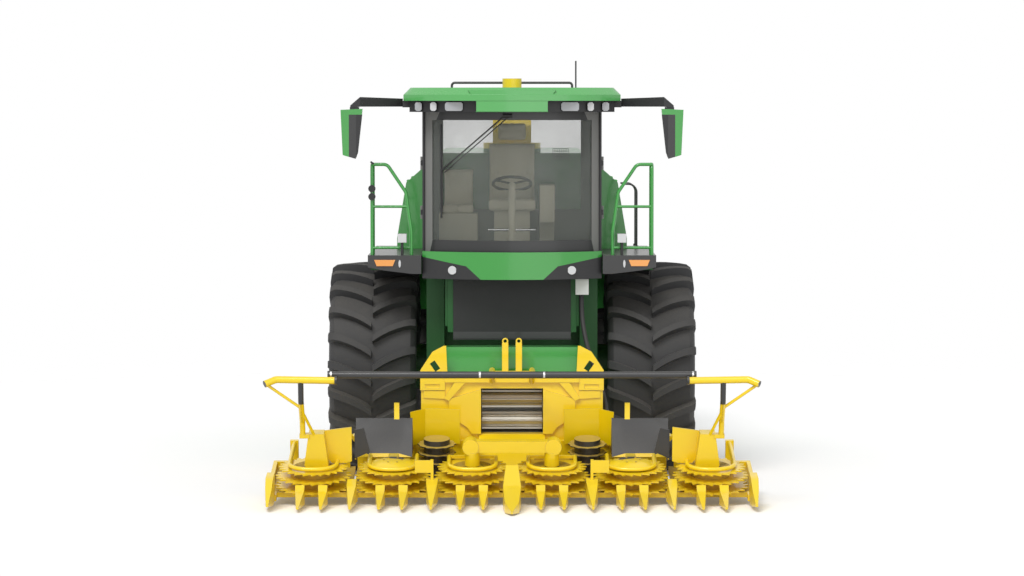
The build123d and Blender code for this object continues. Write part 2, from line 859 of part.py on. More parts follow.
def make_roof_fittings():
    """Handrail, receiver and antenna on the roof."""
    rail_z = roof_top + rail_over_roof
    fittings = tube([(-600, -900, roof_top), (-600, -900, rail_z), (600, -900, rail_z),
                     (600, -900, roof_top)], 12, 30)
    fittings += Pos(0, -1250, roof_top) * Cylinder(95, 90, align=(Align.CENTER, Align.CENTER, Align.MIN))
    fittings += rod((antenna_x, -700, roof_top), (antenna_x, -700, antenna_top), 8)
    return {"roof_fittings": fittings}


def make_mirrors():
    """A mirror each side, on a thick arm from the roof's side."""
    root = block((roof_half - roof_recess, roof_half + 10), (-1130, -1050), (3735, roof_cap_bottom))
    stations = (
        # x, y, z, depth, height
        (roof_half + 9, -1090, 3782, 80, 80),
        (1490, mirror_y, 3790, 80, 95),
        (1586, mirror_y, 3742, 70, 26),
    )
    arm = loft(
        [Plane.YZ.offset(x) * Pos(y, z) * Rectangle(depth, height) for x, y, z, depth, height in stations],
        ruled=True,
    )
    head = front_profile(
        [
            (mirror_inner, mirror_top),
            (mirror_outer, mirror_top - 10),
            (mirror_outer - 20, mirror_bottom + 38),
            (mirror_outer - 41, mirror_bottom + 30),
            (mirror_inner + 70, mirror_bottom),
            (mirror_inner + 48, mirror_bottom + 60),
        ],
        mirror_y - mirror_depth / 2,
        mirror_y + mirror_depth / 2,
    )
    neck = block((1500, 1590), (mirror_y - 35, mirror_y + 35), (mirror_top - 15, mirror_top + 16))
    side = root + arm + head + neck
    return {"mirrors": side + mirror(side, Plane.YZ)}


def make_platforms():
    """Walkways over the front wheels, each with its front bumper."""
    deck = block((platform_inner, platform_outer), (platform_front, platform_rear),
                 (platform_top - platform_thick, platform_top))
    bumper_inner = fascia_half + 10
    bumper = front_profile(
        [
            (bumper_inner, platform_top),
            (platform_outer, platform_top),
            (platform_outer, bumper_bottom + 30),
            (platform_outer - 150, bumper_bottom),
            (bumper_inner + 90, bumper_bottom - bumper_drop),
            (bumper_inner, bumper_bottom - bumper_drop),
        ],
        bumper_front,
        platform_front,
    )
    side = deck + bumper
    return {"platforms": side + mirror(side, Plane.YZ)}


def make_front_panel():
    """The bowed fascia below the windscreen on its two brackets."""
    rear = platform_front + 40
    panel = bowed_prism(fascia_half, fascia_side_y, fascia_bow, rear, fascia_bottom, fascia_top)
    panel -= bowed_prism(fascia_half - fascia_thick, fascia_side_y, fascia_bow - fascia_thick,
                         rear + 1, fascia_bottom - 1, fascia_top + 1)
    return {"front_panel": panel}


def make_curtain():
    front = platform_front + 40
    return {
        "curtain": block((-curtain_half, curtain_half), (front - curtain_thick, front),
                         (curtain_bottom, fascia_bottom - 10))
    }


def make_header_hose():
    """The box under the cab that the header's hose plugs into, and the hose."""
    return {"coupler_box": block(*coupler_box), "header_hose": cord_tube(hose_route, hose_diameter)}


def make_railings():
    """Green tube railings at the front corners of both platforms."""
    x, y = platform_outer - 40, platform_front + 25
    depth = 280
    base = platform_top
    thin = 0.8 * handrail_radius
    side = tube([(x, y + depth, base), (x, y + depth, handrail_top), (x, y, handrail_top), (x, y, base)],
                handrail_radius, 60)
    front = [(x, y, handrail_top)] + [(a, y, b) for a, b in handrail_bend]
    side += tube(front + [(handrail_bend[-1][0], y, base)], handrail_radius, 70)
    side += rod((x, y + depth, handrail_mid), (x, y, handrail_mid), thin)
    side += rod((x, y, handrail_mid), (handrail_bend[1][0] - 15, y, handrail_mid), thin)
    side += rod((x, y, handrail_low), (handrail_bend[2][0], y, handrail_low), thin)
    return {"railings": side + mirror(side, Plane.YZ)}


def make_ladder():
    """Steps down from the left platform behind the front wheel, with two hand rails."""
    y_low, y_high = platform_rear + 60, platform_rear + 520
    x = platform_outer - 110
    rail, tread, lowest, rise = 20, 30, 540, 335
    ladder = block((x - rail, x + rail), (platform_rear, platform_rear + 80),
                   (platform_top - platform_thick, platform_top))
    for y in (y_low, y_high):
        ladder += block((x - rail, x + rail), (y, y + rail), (lowest - rail, platform_top))
        ladder += tube([(x, y + rail / 2, platform_top - 1), (x, y + rail / 2, handrail_top - 250),
                        (x - 160, y + rail / 2, handrail_top - 250)], rail / 2, 90)
    for step in range(6):
        z = lowest + step * rise
        ladder += block((x - 90, x + 90), (y_low, y_high + rail), (z, z + tread))
    return {"ladder": ladder}


def make_lamps():
    """Lamps in the roof's recess and the fascia, work lamps on stems, and the bumpers' indicators."""
    panel = bowed_prism(fascia_half, fascia_side_y, fascia_bow, platform_front, fascia_bottom, fascia_top)
    core = roof_core()
    core_bow = roof_side_front - roof_front - roof_recess_front
    lamps = []
    for x in (-fog_lamp_x, fog_lamp_x):
        start = (x, fascia_side_y, fog_lamp_z)
        end = (x, bow_y(fascia_half, fascia_side_y, fascia_bow, x) - 18, fog_lamp_z)
        lamps.append(rod(start, end, fog_lamp_radius) - panel)
    for x, width in roof_lamps:
        front = bow_y(roof_half - roof_recess, roof_side_front, core_bow, x) - 45
        lamp = block((x - width / 2, x + width / 2), (front, front + 160), (3700, 3786))
        lamp = chamfer(lamp.edges().filter_by(Axis.Y), 16)
        lamps += both_sides(lamp - core)
    half = work_lamp_size / 2
    stem = rod((work_lamp_x, work_lamp_y, platform_top), (work_lamp_x, work_lamp_y, work_lamp_z), 14)
    head = block((work_lamp_x - half, work_lamp_x + half), (work_lamp_y - 30, work_lamp_y + 30),
                 (work_lamp_z - half, work_lamp_z + half))
    lamps += both_sides(stem + head)
    indicator = [(-105, 31), (105, 31), (80, -31), (-80, -31)]
    lamps += both_sides(front_profile([(indicator_x + a, indicator_z + b) for a, b in indicator],
                                      bumper_front - 12, bumper_front))
    marker = Plane((indicator_x - 148, bumper_front, indicator_z - 7), (1, 0, 0), (0, -1, 0)) * Ellipse(12, 38)
    lamps += both_sides(extrude(marker, 10))
    return {"lamps": apart(lamps)}


def make_spout():
    """The turret on the turntable, the boom pinned between its cheeks and the flap at the end."""
    base = turntable_top + running_gap
    py, pz = spout_pivot_y, spout_pivot_z
    cheek_in = spout_half_width + moving_gap
    cheek_out = cheek_in + spout_cheek
    turret = Pos(0, spout_y, base) * Cylinder(
        turntable_radius, 60, align=(Align.CENTER, Align.CENTER, Align.MIN)
    )
    cheek = side_profile(
        [
            (spout_y - 220, base + 59),
            (spout_y - 220, pz + 40),
            (spout_y - 60, pz + 200),
            (py + 60, pz + 120),
            (py + 90, pz - 60),
            (spout_y + 230, base + 59),
        ],
        cheek_in,
        cheek_out,
    )
    front = side_profile(
        [
            (spout_y - 220, base + 59),
            (spout_y - 220, pz + 40),
            (spout_y - 60, pz + 200),
            (spout_y - 45, pz + 185),
            (spout_y - 195, pz + 30),
            (spout_y - 195, base + 59),
        ],
        -cheek_out,
        cheek_out,
    )
    turret += cheek + mirror(cheek, Plane.YZ) + front
    turret += rod((-cheek_out, py, pz), (cheek_out, py, pz), 20)

    depth = spout_depth
    end_y, mid_y = spout_end_y, (py + spout_end_y) / 2
    top = ThreePointArc((py, pz + 110), (mid_y, spout_crown_z), (end_y, pz + 200))
    low = ThreePointArc((end_y, pz + 200 - depth * 0.7), (mid_y, spout_crown_z - depth), (py, pz - 110))
    nose = ThreePointArc((py, pz - 110), (py - 110, pz), (py, pz + 110))
    tail = Line((end_y, pz + 200), (end_y, pz + 200 - depth * 0.7))
    face = make_face(top + tail + low + nose)
    boom = extrude(Plane.YZ.offset(-spout_half_width) * face, 2 * spout_half_width)
    boom -= rod((-cheek_out, py, pz), (cheek_out, py, pz), 20 + running_gap)
    inner_half = spout_half_width - spout_wall
    hollow = extrude(Plane.YZ.offset(-inner_half) * make_face(
        ThreePointArc((py + 150, pz + 120 - spout_wall), (mid_y, spout_crown_z - spout_wall),
                      (end_y + 1, pz + 200 - spout_wall))
        + Line((end_y + 1, pz + 200 - spout_wall), (end_y + 1, pz + 200 - depth * 0.7 + spout_wall))
        + ThreePointArc((end_y + 1, pz + 200 - depth * 0.7 + spout_wall),
                        (mid_y, spout_crown_z - depth + spout_wall), (py + 150, pz - 60))
        + Line((py + 150, pz - 60), (py + 150, pz + 120 - spout_wall))
    ), 2 * inner_half)
    boom -= hollow

    hinge_y, hinge_z = end_y + moving_gap + spout_hinge_radius, pz + 190
    flap_half = spout_half_width - 2 * spout_wall
    for piece in both_sides(side_profile(
        [
            (end_y - 1, hinge_z + 8),
            (end_y - 1, hinge_z - 60),
            (hinge_y + 14, hinge_z - 14),
            (hinge_y + 14, hinge_z + 8),
        ],
        spout_half_width - spout_wall,
        spout_half_width,
    )):
        boom += piece
    boom -= rod((-cheek_out, hinge_y, hinge_z), (cheek_out, hinge_y, hinge_z), flap_pin_radius + running_gap)
    flap = rod((-flap_half, hinge_y, hinge_z), (flap_half, hinge_y, hinge_z), spout_hinge_radius)
    flap += rod((-spout_half_width, hinge_y, hinge_z), (spout_half_width, hinge_y, hinge_z), flap_pin_radius)
    tip_y = hinge_y + spout_reach
    flap += side_profile(
        [(hinge_y, hinge_z), (hinge_y, hinge_z + 10), (tip_y, hinge_z - 90), (tip_y, hinge_z - 102)],
        -flap_half,
        flap_half,
    )
    for piece in both_sides(side_profile(
        [(hinge_y + 20, hinge_z), (tip_y, hinge_z - 95), (tip_y, hinge_z - 140), (hinge_y + 40, hinge_z - 90)],
        flap_half - spout_wall,
        flap_half,
    )):
        flap += piece
    return {"spout_turret": turret, "spout_boom": boom, "spout_flap": flap}


def ribbed_roll():
    """A feed roll along X with straight ribs."""
    half = throat_half - moving_gap
    points = []
    for number in range(roll_ribs):
        for turn, reach in ((-0.09, roll_radius), (0.09, roll_radius), (0.2, roll_core), (0.8, roll_core)):
            angle = 2 * pi * (number + turn) / roll_ribs
            points.append((reach * cos(angle), reach * sin(angle)))
    return side_profile(points, -half, half)


def make_feeder():
    """The feeder housing on its pivot ears, with the throat and its two feed rolls."""
    housing = side_profile(
        [
            (feeder_front, feeder_bottom),
            (feeder_front, feeder_top),
            (feeder_front + 250, feeder_top),
            (-1240, 1215),
            (feeder_rear, 1215),
            (feeder_rear, 900),
            (-1450, feeder_bottom),
        ],
        -feeder_half,
        feeder_half,
    )
    housing -= block((-throat_half, throat_half), (feeder_front - 1, feeder_front + throat_depth),
                     (throat_bottom, throat_top))
    ear_in = feeder_half - 55
    ear = side_profile(
        [(feeder_rear - 1, lift_z - 80), (feeder_rear - 1, lift_z + 60), (lift_y, lift_z + 60),
         (lift_y, lift_z - 80)],
        ear_in,
        feeder_half - 10,
    )
    ear += rod((ear_in, lift_y, lift_z), (feeder_half - 10, lift_y, lift_z), 80)
    ear -= rod((ear_in - 1, lift_y, lift_z), (feeder_half, lift_y, lift_z), lift_pin_radius + running_gap)
    pin = rod((feeder_half - 1, ram_rod_y, ram_rod_z), (ram_x + 45, ram_rod_y, ram_rod_z), ram_pin_radius)
    for piece in both_sides(ear) + both_sides(pin):
        housing += piece
    made = {}
    for name, z in roll_centres.items():
        shaft_half = throat_half + 100
        housing -= rod((-shaft_half - 1, roll_y, z), (shaft_half + 1, roll_y, z),
                       roll_shaft_radius + running_gap)
        roll = Pos(0, roll_y, z) * ribbed_roll()
        roll += rod((-shaft_half, roll_y, z), (shaft_half, roll_y, z), roll_shaft_radius)
        made[f"feed_roll_{name}"] = roll
    made["feeder_housing"] = housing
    return made


def make_rams():
    """Two lift cylinders beside the feeder: barrels on the axle, rods on the feeder's pins."""
    run = Vector(0, ram_rod_y - ram_barrel_y, ram_rod_z - ram_barrel_z)
    length = run.length
    line = Plane(origin=(ram_x, ram_barrel_y, ram_barrel_z), x_dir=(1, 0, 0), z_dir=run)

    def along(low, high, radius):
        return line * Pos(0, 0, (low + high) / 2) * Cylinder(radius, high - low)

    def eye(at, radius, half):
        centre = line * Pos(0, 0, at)
        return centre * Rot(0, 90, 0) * Cylinder(radius, 2 * half)

    barrel = along(30, ram_barrel_length, ram_radius) + eye(0, 50, 40)
    barrel -= eye(0, ram_pin_radius + running_gap, 60)
    barrel -= along(110, ram_barrel_length + 1, ram_rod_radius + running_gap)
    ram = along(130, length - 30, ram_rod_radius) + eye(length, 54, 40)
    ram -= eye(length, ram_pin_radius + rod_eye_slack, 60)
    return {"lift_barrels": apart(both_sides(barrel)), "lift_rods": apart(both_sides(ram))}


def rotor(x):
    """One mowing rotor: three toothed discs on a drum, with its shaft down into the deck."""
    solid = Cylinder(rotor_drum_radius, rotor_top - rotor_bottom)
    for low, radius in (
        (rotor_top - rotor_disc, rotor_top_radius),
        (0, rotor_radius - 5),
        (rotor_bottom, rotor_radius),
    ):
        solid += toothed_plate(radius, rotor_tooth_depth, rotor_teeth, low, rotor_disc)
    shaft_low = floor_top + running_gap
    solid += Pos(0, 0, shaft_low) * Cylinder(
        rotor_shaft_radius, rotor_bottom - shaft_low + 1, align=(Align.CENTER, Align.CENTER, Align.MIN)
    )
    return header_place * Pos(x, 0, 0) * solid


def point(x, sections):
    """A divider: a wedge through (y, half width, low, high) sections, with a tongue under the rotors."""
    rings = []
    for y, half_width, low, high in sections:
        ring = Rectangle(2 * half_width, high - low)
        rings.append(Plane((x, y, 0), (1, 0, 0), (0, -1, 0)) * Pos(0, (low + high) / 2) * ring)
    tongue = block((x - 50, x + 50), (sections[0][0] - 60, floor_front),
                   (floor_bottom, rotor_bottom - moving_gap - 2))
    return loft(rings, ruled=True) + tongue


def finger(x, root_y=floor_front):
    """A lifter in front of a rotor: a folded sheet that narrows to its tip, on a tongue under the rotor."""
    face_y = -rotor_radius - 15
    tongue_top = rotor_bottom - 20
    tongue = block((x - 30, x + 30), (face_y - 20, root_y), (floor_bottom, tongue_top))
    sheet = loft(
        [
            Plane((x, y, 0), (1, 0, 0), (0, -1, 0)) * Pos(0, (low + high) / 2) * Rectangle(wide, high - low)
            for y, wide, low, high in (
                (face_y, 88, floor_bottom, 20),
                (face_y - 60, 84, floor_bottom + 10, -20),
                (-825, 24, -86, -68),
            )
        ],
        ruled=True,
    )
    return tongue + sheet


def guard(x, legs):
    """A hoop around a rotor's hub, open to the rear; legs gives the rear ends of its inner and outer leg."""
    points = [
        (x - guard_radius, legs[0], guard_z),
        (x - guard_radius, -guard_radius, guard_z),
        (x + guard_radius, -guard_radius, guard_z),
        (x + guard_radius, legs[1], guard_z),
    ]
    return tube(points, guard_tube, guard_bend)


def make_shield():
    """The dark sheet over a middle rotor: its gussets on the rear wall, the hub's cover and the hoop."""
    x = 1.5 * rotor_pitch
    outer = wing_x - wing_gap
    sheet = side_profile(
        [
            (shield_front, shield_bottom),
            (shield_rear, shield_top),
            (shield_rear + 20, shield_top),
            (shield_front + 22, shield_bottom),
        ],
        shield_inner,
        outer,
    )
    gusset = [
        (shield_front + 12, shield_bottom),
        (shield_rear + 6, shield_top - 10),
        (back_wall_front + 20, back_wall_top - 10),
        (back_wall_front + 20, 60),
        (shield_rear + 110, shield_bottom),
    ]
    for low in (shield_inner, x, wing_x - 2 * wing_hinge_radius - 14):
        sheet += side_profile(gusset, low, low + 14)
    sheet += block((1075, 1125), (shield_rear - 5, shield_rear + 20), (shield_top - 60, 590))
    small_plate = [(1345, 205), (outer, 140), (outer, 420), (1400, 440)]
    sheet += front_profile(small_plate, 100, 112)
    sheet += block((outer - 14, outer), (100, shield_front + 60), (shield_bottom + 20, shield_bottom + 60))
    cover = lathe_z([
        (0, cover_bottom),
        (guard_radius - 12, cover_bottom),
        (guard_radius - 12, cover_bottom + 16),
        (120, cover_bottom + 50),
        (0, cover_bottom + 50),
    ])
    sheet += Pos(x, 0, 0) * cover
    sheet += block((x - 45, x + 45), (100, shield_front + 40), (cover_bottom + 8, cover_bottom + 40))
    return sheet + guard(x, (shield_front + 20, shield_front + 20))


def make_cross_beam():
    """The beam over the two middle rotors, its columns and end caps, the struts behind it and the hoops."""
    x = 0.5 * rotor_pitch
    low, high = cross_z - cross_size / 2, cross_z + cross_size / 2
    side = block((-1, cross_half), (-50, 50), (low, high))
    side += rod((cross_half, -66, cross_z), (cross_half, 60, cross_z), 0.7 * cross_size)
    side += Pos(x, 0, (cover_bottom + low + 1) / 2) * Cylinder(70, low + 1 - cover_bottom)
    side += side_profile(
        [
            (0, high - 4),
            (50, high - 4),
            (back_wall_front + 30, back_wall_top),
            (back_wall_front + 30, 60),
            (240, guard_z - 10),
            (190, guard_z - 10),
            (20, low),
        ],
        strut_x - 10,
        strut_x + 10,
    )
    side += block((x - guard_radius - 15, x + guard_radius + 15), (200, 230), (guard_z - 14, guard_z + 14))
    return side + guard(x, (215, 215))


def make_drum_guard():
    """The folded sheet that stands on the rear wall behind a cross drum."""
    folds = [(976, 560), (835, back_wall_front), (693, back_wall_front), (500, 650)]
    thick = 12
    rear = [(x, y + thick) for x, y in reversed(folds)]
    return top_profile(folds + rear, back_wall_top - 20, 470)


def make_pedestal():
    """The column over the outer rotor with its arm to the rear wall, the folded panel and the hoop."""
    x = 2.5 * rotor_pitch
    column = front_profile(
        [
            (pedestal_x - 72, pedestal_top),
            (pedestal_x + 72, pedestal_top),
            (pedestal_x + 115, cover_bottom + 20),
            (pedestal_x + 100, cover_bottom),
            (pedestal_x - 115, cover_bottom),
        ],
        -pedestal_half,
        pedestal_half,
    )
    arm = side_profile(
        [
            (pedestal_half - 1, pedestal_top - 40),
            (pedestal_half - 1, pedestal_top - 200),
            (back_wall_front + 20, 60),
            (back_wall_front + 20, back_wall_top),
        ],
        pedestal_x - 40,
        pedestal_x + 40,
    )
    panel = front_profile(
        [
            (pedestal_x - 30, pedestal_top - 10),
            (wing_x + 14, pedestal_top + 30),
            (wing_x + 14, 125),
            (1572, cover_bottom + 4),
            (1705, cover_bottom + 4),
            (pedestal_x - 60, 200),
        ],
        panel_y,
        panel_y + panel_thick,
    )
    foot = block((pedestal_x + 60, post_x + 30), (-90, -20), (pedestal_top - 40, pedestal_top))
    outer_leg = back_wall_front + 10
    return column + arm + panel + foot + guard(x, (panel_y + panel_thick / 2, outer_leg))


def make_wing():
    """One folding end of the header, with its floor, wall, horn, fingers, pedestal and half of the bar."""
    hinge_low = back_wall_front
    eye = Plane((wing_x, hinge_low + 10, wing_hinge_z), z_dir=(0, 1, 0))
    wing_front = floor_front + wing_gap
    side_in = wing_outer - 38
    wing = block((wing_x + wing_gap, wing_outer), (wing_front, back_wall_rear), (floor_bottom, floor_top))
    wing += side_profile(
        [
            (floor_front - 60, floor_bottom),
            (floor_front - 60, 60),
            (floor_front - 45, wing_wall_top),
            (back_wall_rear, wing_wall_top),
            (back_wall_rear, floor_bottom),
        ],
        side_in,
        wing_outer,
    )
    wall_y = (back_wall_front, back_wall_rear)
    wing += block((wing_x + 60, pedestal_x + 60), wall_y, (floor_top - 1, back_wall_top))
    wing += block((pedestal_x, wing_outer), wall_y, (floor_top - 1, wing_wall_top))
    leg_x = 2.5 * rotor_pitch + guard_radius
    wing += block((leg_x - 40, leg_x + 40), wall_y, (floor_top - 1, guard_z + 24))
    wing += eye * Cylinder(wing_hinge_radius, 50)
    eye_y = (hinge_low - 15, hinge_low + 35)
    wing += block((wing_x, wing_x + 90), eye_y, (wing_hinge_z - 20, wing_hinge_z + 20))
    wing += block((wing_x + 60, wing_x + 90), eye_y, (back_wall_top - 1, wing_hinge_z + 20))
    wing -= eye * Cylinder(wing_pin_radius + running_gap, 60)
    horn = [
        (floor_front - 59, 35, floor_bottom, 96),
        (-450, 36, -150, 104),
        (-600, 30, -120, 40),
        (-780, 12, -75, -45),
    ]
    wing += point(side_in, horn)
    for offset in (-finger_offset, finger_offset):
        wing += finger(2.5 * rotor_pitch + offset, wing_front)
    bar_end = wing_outer + 30
    post = tube(
        [
            (post_x, -60, pedestal_top - 20),
            (post_x, -100, 560),
            (post_x, wing_bar_y, 800),
            (post_x, wing_bar_y, wing_bar_z),
        ],
        post_radius,
        60,
    )
    bar = tube(
        [
            (bar_half - 70, wing_bar_y, wing_bar_z),
            (wing_outer - 100, wing_bar_y, wing_bar_z + 10),
            (bar_end - 30, wing_bar_y - 58, wing_bar_z - 20),
        ],
        bar_radius,
        60,
    )
    cap_start = (bar_half - 90, wing_bar_y, wing_bar_z)
    cap_end = (bar_half - 68, wing_bar_y, wing_bar_z)
    inner_cap = rod(cap_start, cap_end, bar_radius + 7)
    braces = rod((wing_outer - 15, wing_bar_y - 14, wing_bar_z - 35), (post_x, -225, 720), 14)
    braces += rod((post_x, -190, 690), (pedestal_x + 20, -pedestal_half + 12, pedestal_top - 10), 14)
    return header_place * (wing + make_pedestal() + post + bar + inner_cap + braces)


def make_header_frame():
    """The yellow frame that the feeder carries: its face with the throat, plates, braces and hooks."""
    face = front_profile([(-880, 260), (-880, 1120), (880, 1120), (880, 260)], deck_rear, feeder_front)
    face -= block((-throat_half, throat_half), (deck_rear - 1, feeder_front + 1), (throat_bottom, throat_top))
    plates = (
        # proud of the face by, outline as (x, z)
        (26, ((613, 919), (throat_half, 1012), (throat_half, 580), (392, 580), (430, 640), (613, 760))),
        (20, ((647, 1004), (647, 1140), (888, 1140), (888, 1004))),
        (12, ((647, 917), (647, 1000), (855, 1000), (855, 930))),
        (32, ((448, 1085), (555, 1085), (660, 925), (612, 900))),
    )
    side = front_profile([(622, 1119), (637, 1434), (660, 1434), (771, 1375), (888, 1197), (888, 1119)],
                         deck_rear, deck_rear + 30)
    for proud, outline in plates:
        side += front_profile(list(outline), deck_rear - proud, deck_rear + 1)
    side -= Pos(745, deck_rear, 1237) * Rot(0, 35, 0) * Box(56, 100, 96)
    side -= block((700, 840), (deck_rear - 60, deck_rear - 8), (1023, 1062))
    side += block((-1, 650), (deck_rear - frame_beam, deck_rear + 1),
                  (frame_beam_z - 28, frame_beam_z + 28))
    side += block((-1, 180), (deck_rear, deck_rear + 24), (1135, 1190))
    side += block((35, 97), (deck_rear, deck_rear + 60), (1119, 1463))
    hook = Plane((66, deck_rear + 10, 1480), z_dir=(0, 1, 0))
    side += hook * Cylinder(30, 20) - hook * Cylinder(16, 30)
    frame = face + side + mirror(side, Plane.YZ)
    return frame + block(*hose_block)


def make_header():
    """The header: a centre section of four rotors and a folding wing each side with one more."""
    edge = wing_x - wing_gap
    floor = block((-edge, edge), (floor_front, 1000), (floor_bottom, floor_top))
    wall_x = throat_half + 30
    half = block((wall_x, edge), (back_wall_front, back_wall_rear), (floor_top - 1, back_wall_top))
    half += make_shield() + make_cross_beam() + make_drum_guard()
    divider = [(-220, 58, floor_bottom, 40), (-420, 50, -150, 30), (-840, 10, -82, -56)]
    outer_divider = [(-245, 44, floor_bottom, 40), (-420, 44, -150, 30), (-840, 10, -82, -56)]
    half += point(rotor_pitch, divider) + point(2 * rotor_pitch, outer_divider)
    half += block((736, 910), (-262, -250), (cover_bottom, 225))
    half += block((736, 764), (-262, -222), (-100, 225))
    for x in (0.5 * rotor_pitch, 1.5 * rotor_pitch):
        for offset in (-finger_offset, finger_offset):
            half += finger(x + offset)
    hinge_y = (back_wall_front - 60, back_wall_front - 20)
    fixed_eye = Plane((wing_x, back_wall_front - 40, wing_hinge_z), z_dir=(0, 1, 0))
    half += block((wing_x - 70, wing_x), hinge_y, (wing_hinge_z - 20, wing_hinge_z + 20))
    half += fixed_eye * Cylinder(wing_hinge_radius, 40)
    half += block((wing_x - 70, wing_x - 40), (hinge_y[0], back_wall_rear),
                  (back_wall_top - 60, wing_hinge_z + 20))
    half += Plane((wing_x, back_wall_front, wing_hinge_z), z_dir=(0, 1, 0)) * Cylinder(wing_pin_radius, 120)
    snout = [(-260, 58, floor_bottom, 180), (-560, 84, -155, 60), (-860, 66, -110, 0), (-1074, 8, -56, -36)]
    deck = header_place * (floor + half + mirror(half, Plane.YZ) + point(0, snout))
    deck -= block((-3000, 3000), (deck_rear, 0), (-500, 3000))
    deck += side_profile(
        [(-2560, 320), (deck_rear, throat_bottom - 5), (deck_rear, 300), (-2560, 230)],
        -throat_half - 20,
        throat_half + 20,
    )

    wings = both_sides(make_wing())
    centre_bar = rod((-bar_half, bar_y, bar_z), (bar_half, bar_y, bar_z), bar_radius)
    arm_x = 190
    arm = tube(
        [
            (arm_x, deck_rear - frame_beam, frame_beam_z),
            (arm_x, deck_rear - 250, frame_beam_z),
            (arm_x, deck_rear - 600, bar_z),
            (arm_x, bar_y, bar_z),
        ],
        28,
        200,
    )
    cap = rod((bar_half - 20, bar_y, bar_z), (bar_half + 2, bar_y, bar_z), bar_radius + 6)
    side = arm + cap
    made = {
        "header_deck": deck,
        "wing_l": wings[0],
        "wing_r": wings[1],
        "header_frame": make_header_frame(),
        "crop_bar": centre_bar + side + mirror(side, Plane.YZ),
    }
    for number in range(3):
        left, right = both_sides(rotor((number + 0.5) * rotor_pitch))
        made[f"rotor_l{number + 1}"] = left
        made[f"rotor_r{number + 1}"] = right
    drum_low = floor_top + running_gap
    drum = Pos(0, 0, (drum_low + drum_top) / 2) * Cylinder(drum_core, drum_top - drum_low)
    for z in (20, 100, 180):
        drum += toothed_plate(drum_radius, 14, drum_waves, z - 5, 10)
    left, right = both_sides(header_place * Pos(drum_x, drum_y, 0) * drum)
    made["cross_drum_l"] = left
    made["cross_drum_r"] = right
    return made


parts = {}
for make in (
    make_wheels,
    make_front_axle,
    make_rear_axle,
    make_main_frame,
    make_engine,
    make_chopper,
    make_rear_body,
    make_cab,
    make_cab_inside,
    make_roof_fittings,
    make_mirrors,
    make_platforms,
    make_front_panel,
    make_curtain,
    make_header_hose,
    make_railings,
    make_ladder,
    make_lamps,
    make_spout,
    make_feeder,
    make_rams,
    make_header,
):
    parts.update(make())

os.makedirs("parts", exist_ok=True)
for name, piece in parts.items():
    export_step(place * piece, f"parts/{name}.step")
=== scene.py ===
import json
import math

import bmesh
import bpy
from mathutils import Matrix, Vector


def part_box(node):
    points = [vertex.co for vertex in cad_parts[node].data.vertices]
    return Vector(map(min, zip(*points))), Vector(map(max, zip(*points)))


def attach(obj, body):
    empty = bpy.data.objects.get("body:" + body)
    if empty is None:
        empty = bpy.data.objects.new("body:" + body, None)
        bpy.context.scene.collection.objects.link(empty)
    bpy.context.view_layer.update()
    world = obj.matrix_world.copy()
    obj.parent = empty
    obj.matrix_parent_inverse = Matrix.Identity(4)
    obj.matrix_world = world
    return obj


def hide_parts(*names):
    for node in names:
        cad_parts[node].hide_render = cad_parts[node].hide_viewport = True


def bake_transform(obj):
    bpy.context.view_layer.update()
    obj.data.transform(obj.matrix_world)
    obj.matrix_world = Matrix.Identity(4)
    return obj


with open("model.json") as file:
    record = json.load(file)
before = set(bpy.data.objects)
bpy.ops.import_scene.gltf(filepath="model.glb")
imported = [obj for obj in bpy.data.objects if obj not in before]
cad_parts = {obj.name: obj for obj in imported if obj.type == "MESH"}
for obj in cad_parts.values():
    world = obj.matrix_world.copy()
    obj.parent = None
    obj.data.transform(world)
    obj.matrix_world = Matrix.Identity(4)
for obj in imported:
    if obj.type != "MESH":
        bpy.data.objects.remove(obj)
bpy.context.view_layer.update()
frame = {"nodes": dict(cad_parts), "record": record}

# A self-propelled forage harvester with a rotary row-crop header. Metres, in the frame of the
# solids: forward is -Y, up is +Z, and the machine's left is +X.
nodes = frame["nodes"]
bodies = frame["record"]["behaviour"]["bodies"]
node_body = {name: body for body, names in bodies.items() for name in names}
node_slot = {part["node"]: part["material_slot"] for part in frame["record"]["subparts"]}

# The header's own frame: it is tilted about the line of the rotors' axes
header_origin = Vector((0, -3.25, 0.262))
header_turn = Matrix.Rotation(math.radians(10), 3, "X")
rotor_pitch = 0.75
crop_bar_y, crop_bar_z = -3.6, 1.245

# Camera: the photograph's frame is 1024 wide, its focal length and horizon are in its pixels
photo_width = 1024
photo_height = 576
focal_pixels = 3507
horizon_row = 99.8
camera_back = 36.25
camera_height = 3.81
sensor_width = 36.0

# The hose that runs from the coupler box to the header
hose_diameter = 0.044
hose_route = [
    (0.690, -1.475, 1.880),
    (0.690, -1.475, 1.760),
    (0.702, -1.525, 1.590),
    (0.735, -1.635, 1.410),
    (0.785, -1.800, 1.240),
    (0.838, -1.990, 1.090),
    (0.884, -2.165, 0.965),
    (0.913, -2.290, 0.840),
    (0.918, -2.350, 0.710),
    (0.918, -2.350, 0.600),
]


def linear(red, green, blue):
    """A colour read as 0 to 255 on a screen, as the shader wants it."""
    def one(value):
        share = value / 255
        return share / 12.92 if share <= 0.04045 else ((share + 0.055) / 1.055) ** 2.4
    return (one(red), one(green), one(blue), 1.0)


green_colour = linear(52, 148, 58)
yellow_colour = linear(240, 206, 4)
black_colour = linear(42, 42, 43)
dust_colour = linear(150, 140, 120)


def add(tree, kind, sockets=None, **settings):
    """A node in a tree: its settings by name, and its sockets set to a value or joined to another."""
    made = tree.nodes.new(kind)
    for name, value in settings.items():
        setattr(made, name, value)
    for name, value in (sockets or {}).items():
        if isinstance(value, bpy.types.NodeSocket):
            tree.links.new(value, made.inputs[name])
        else:
            made.inputs[name].default_value = value
    return made


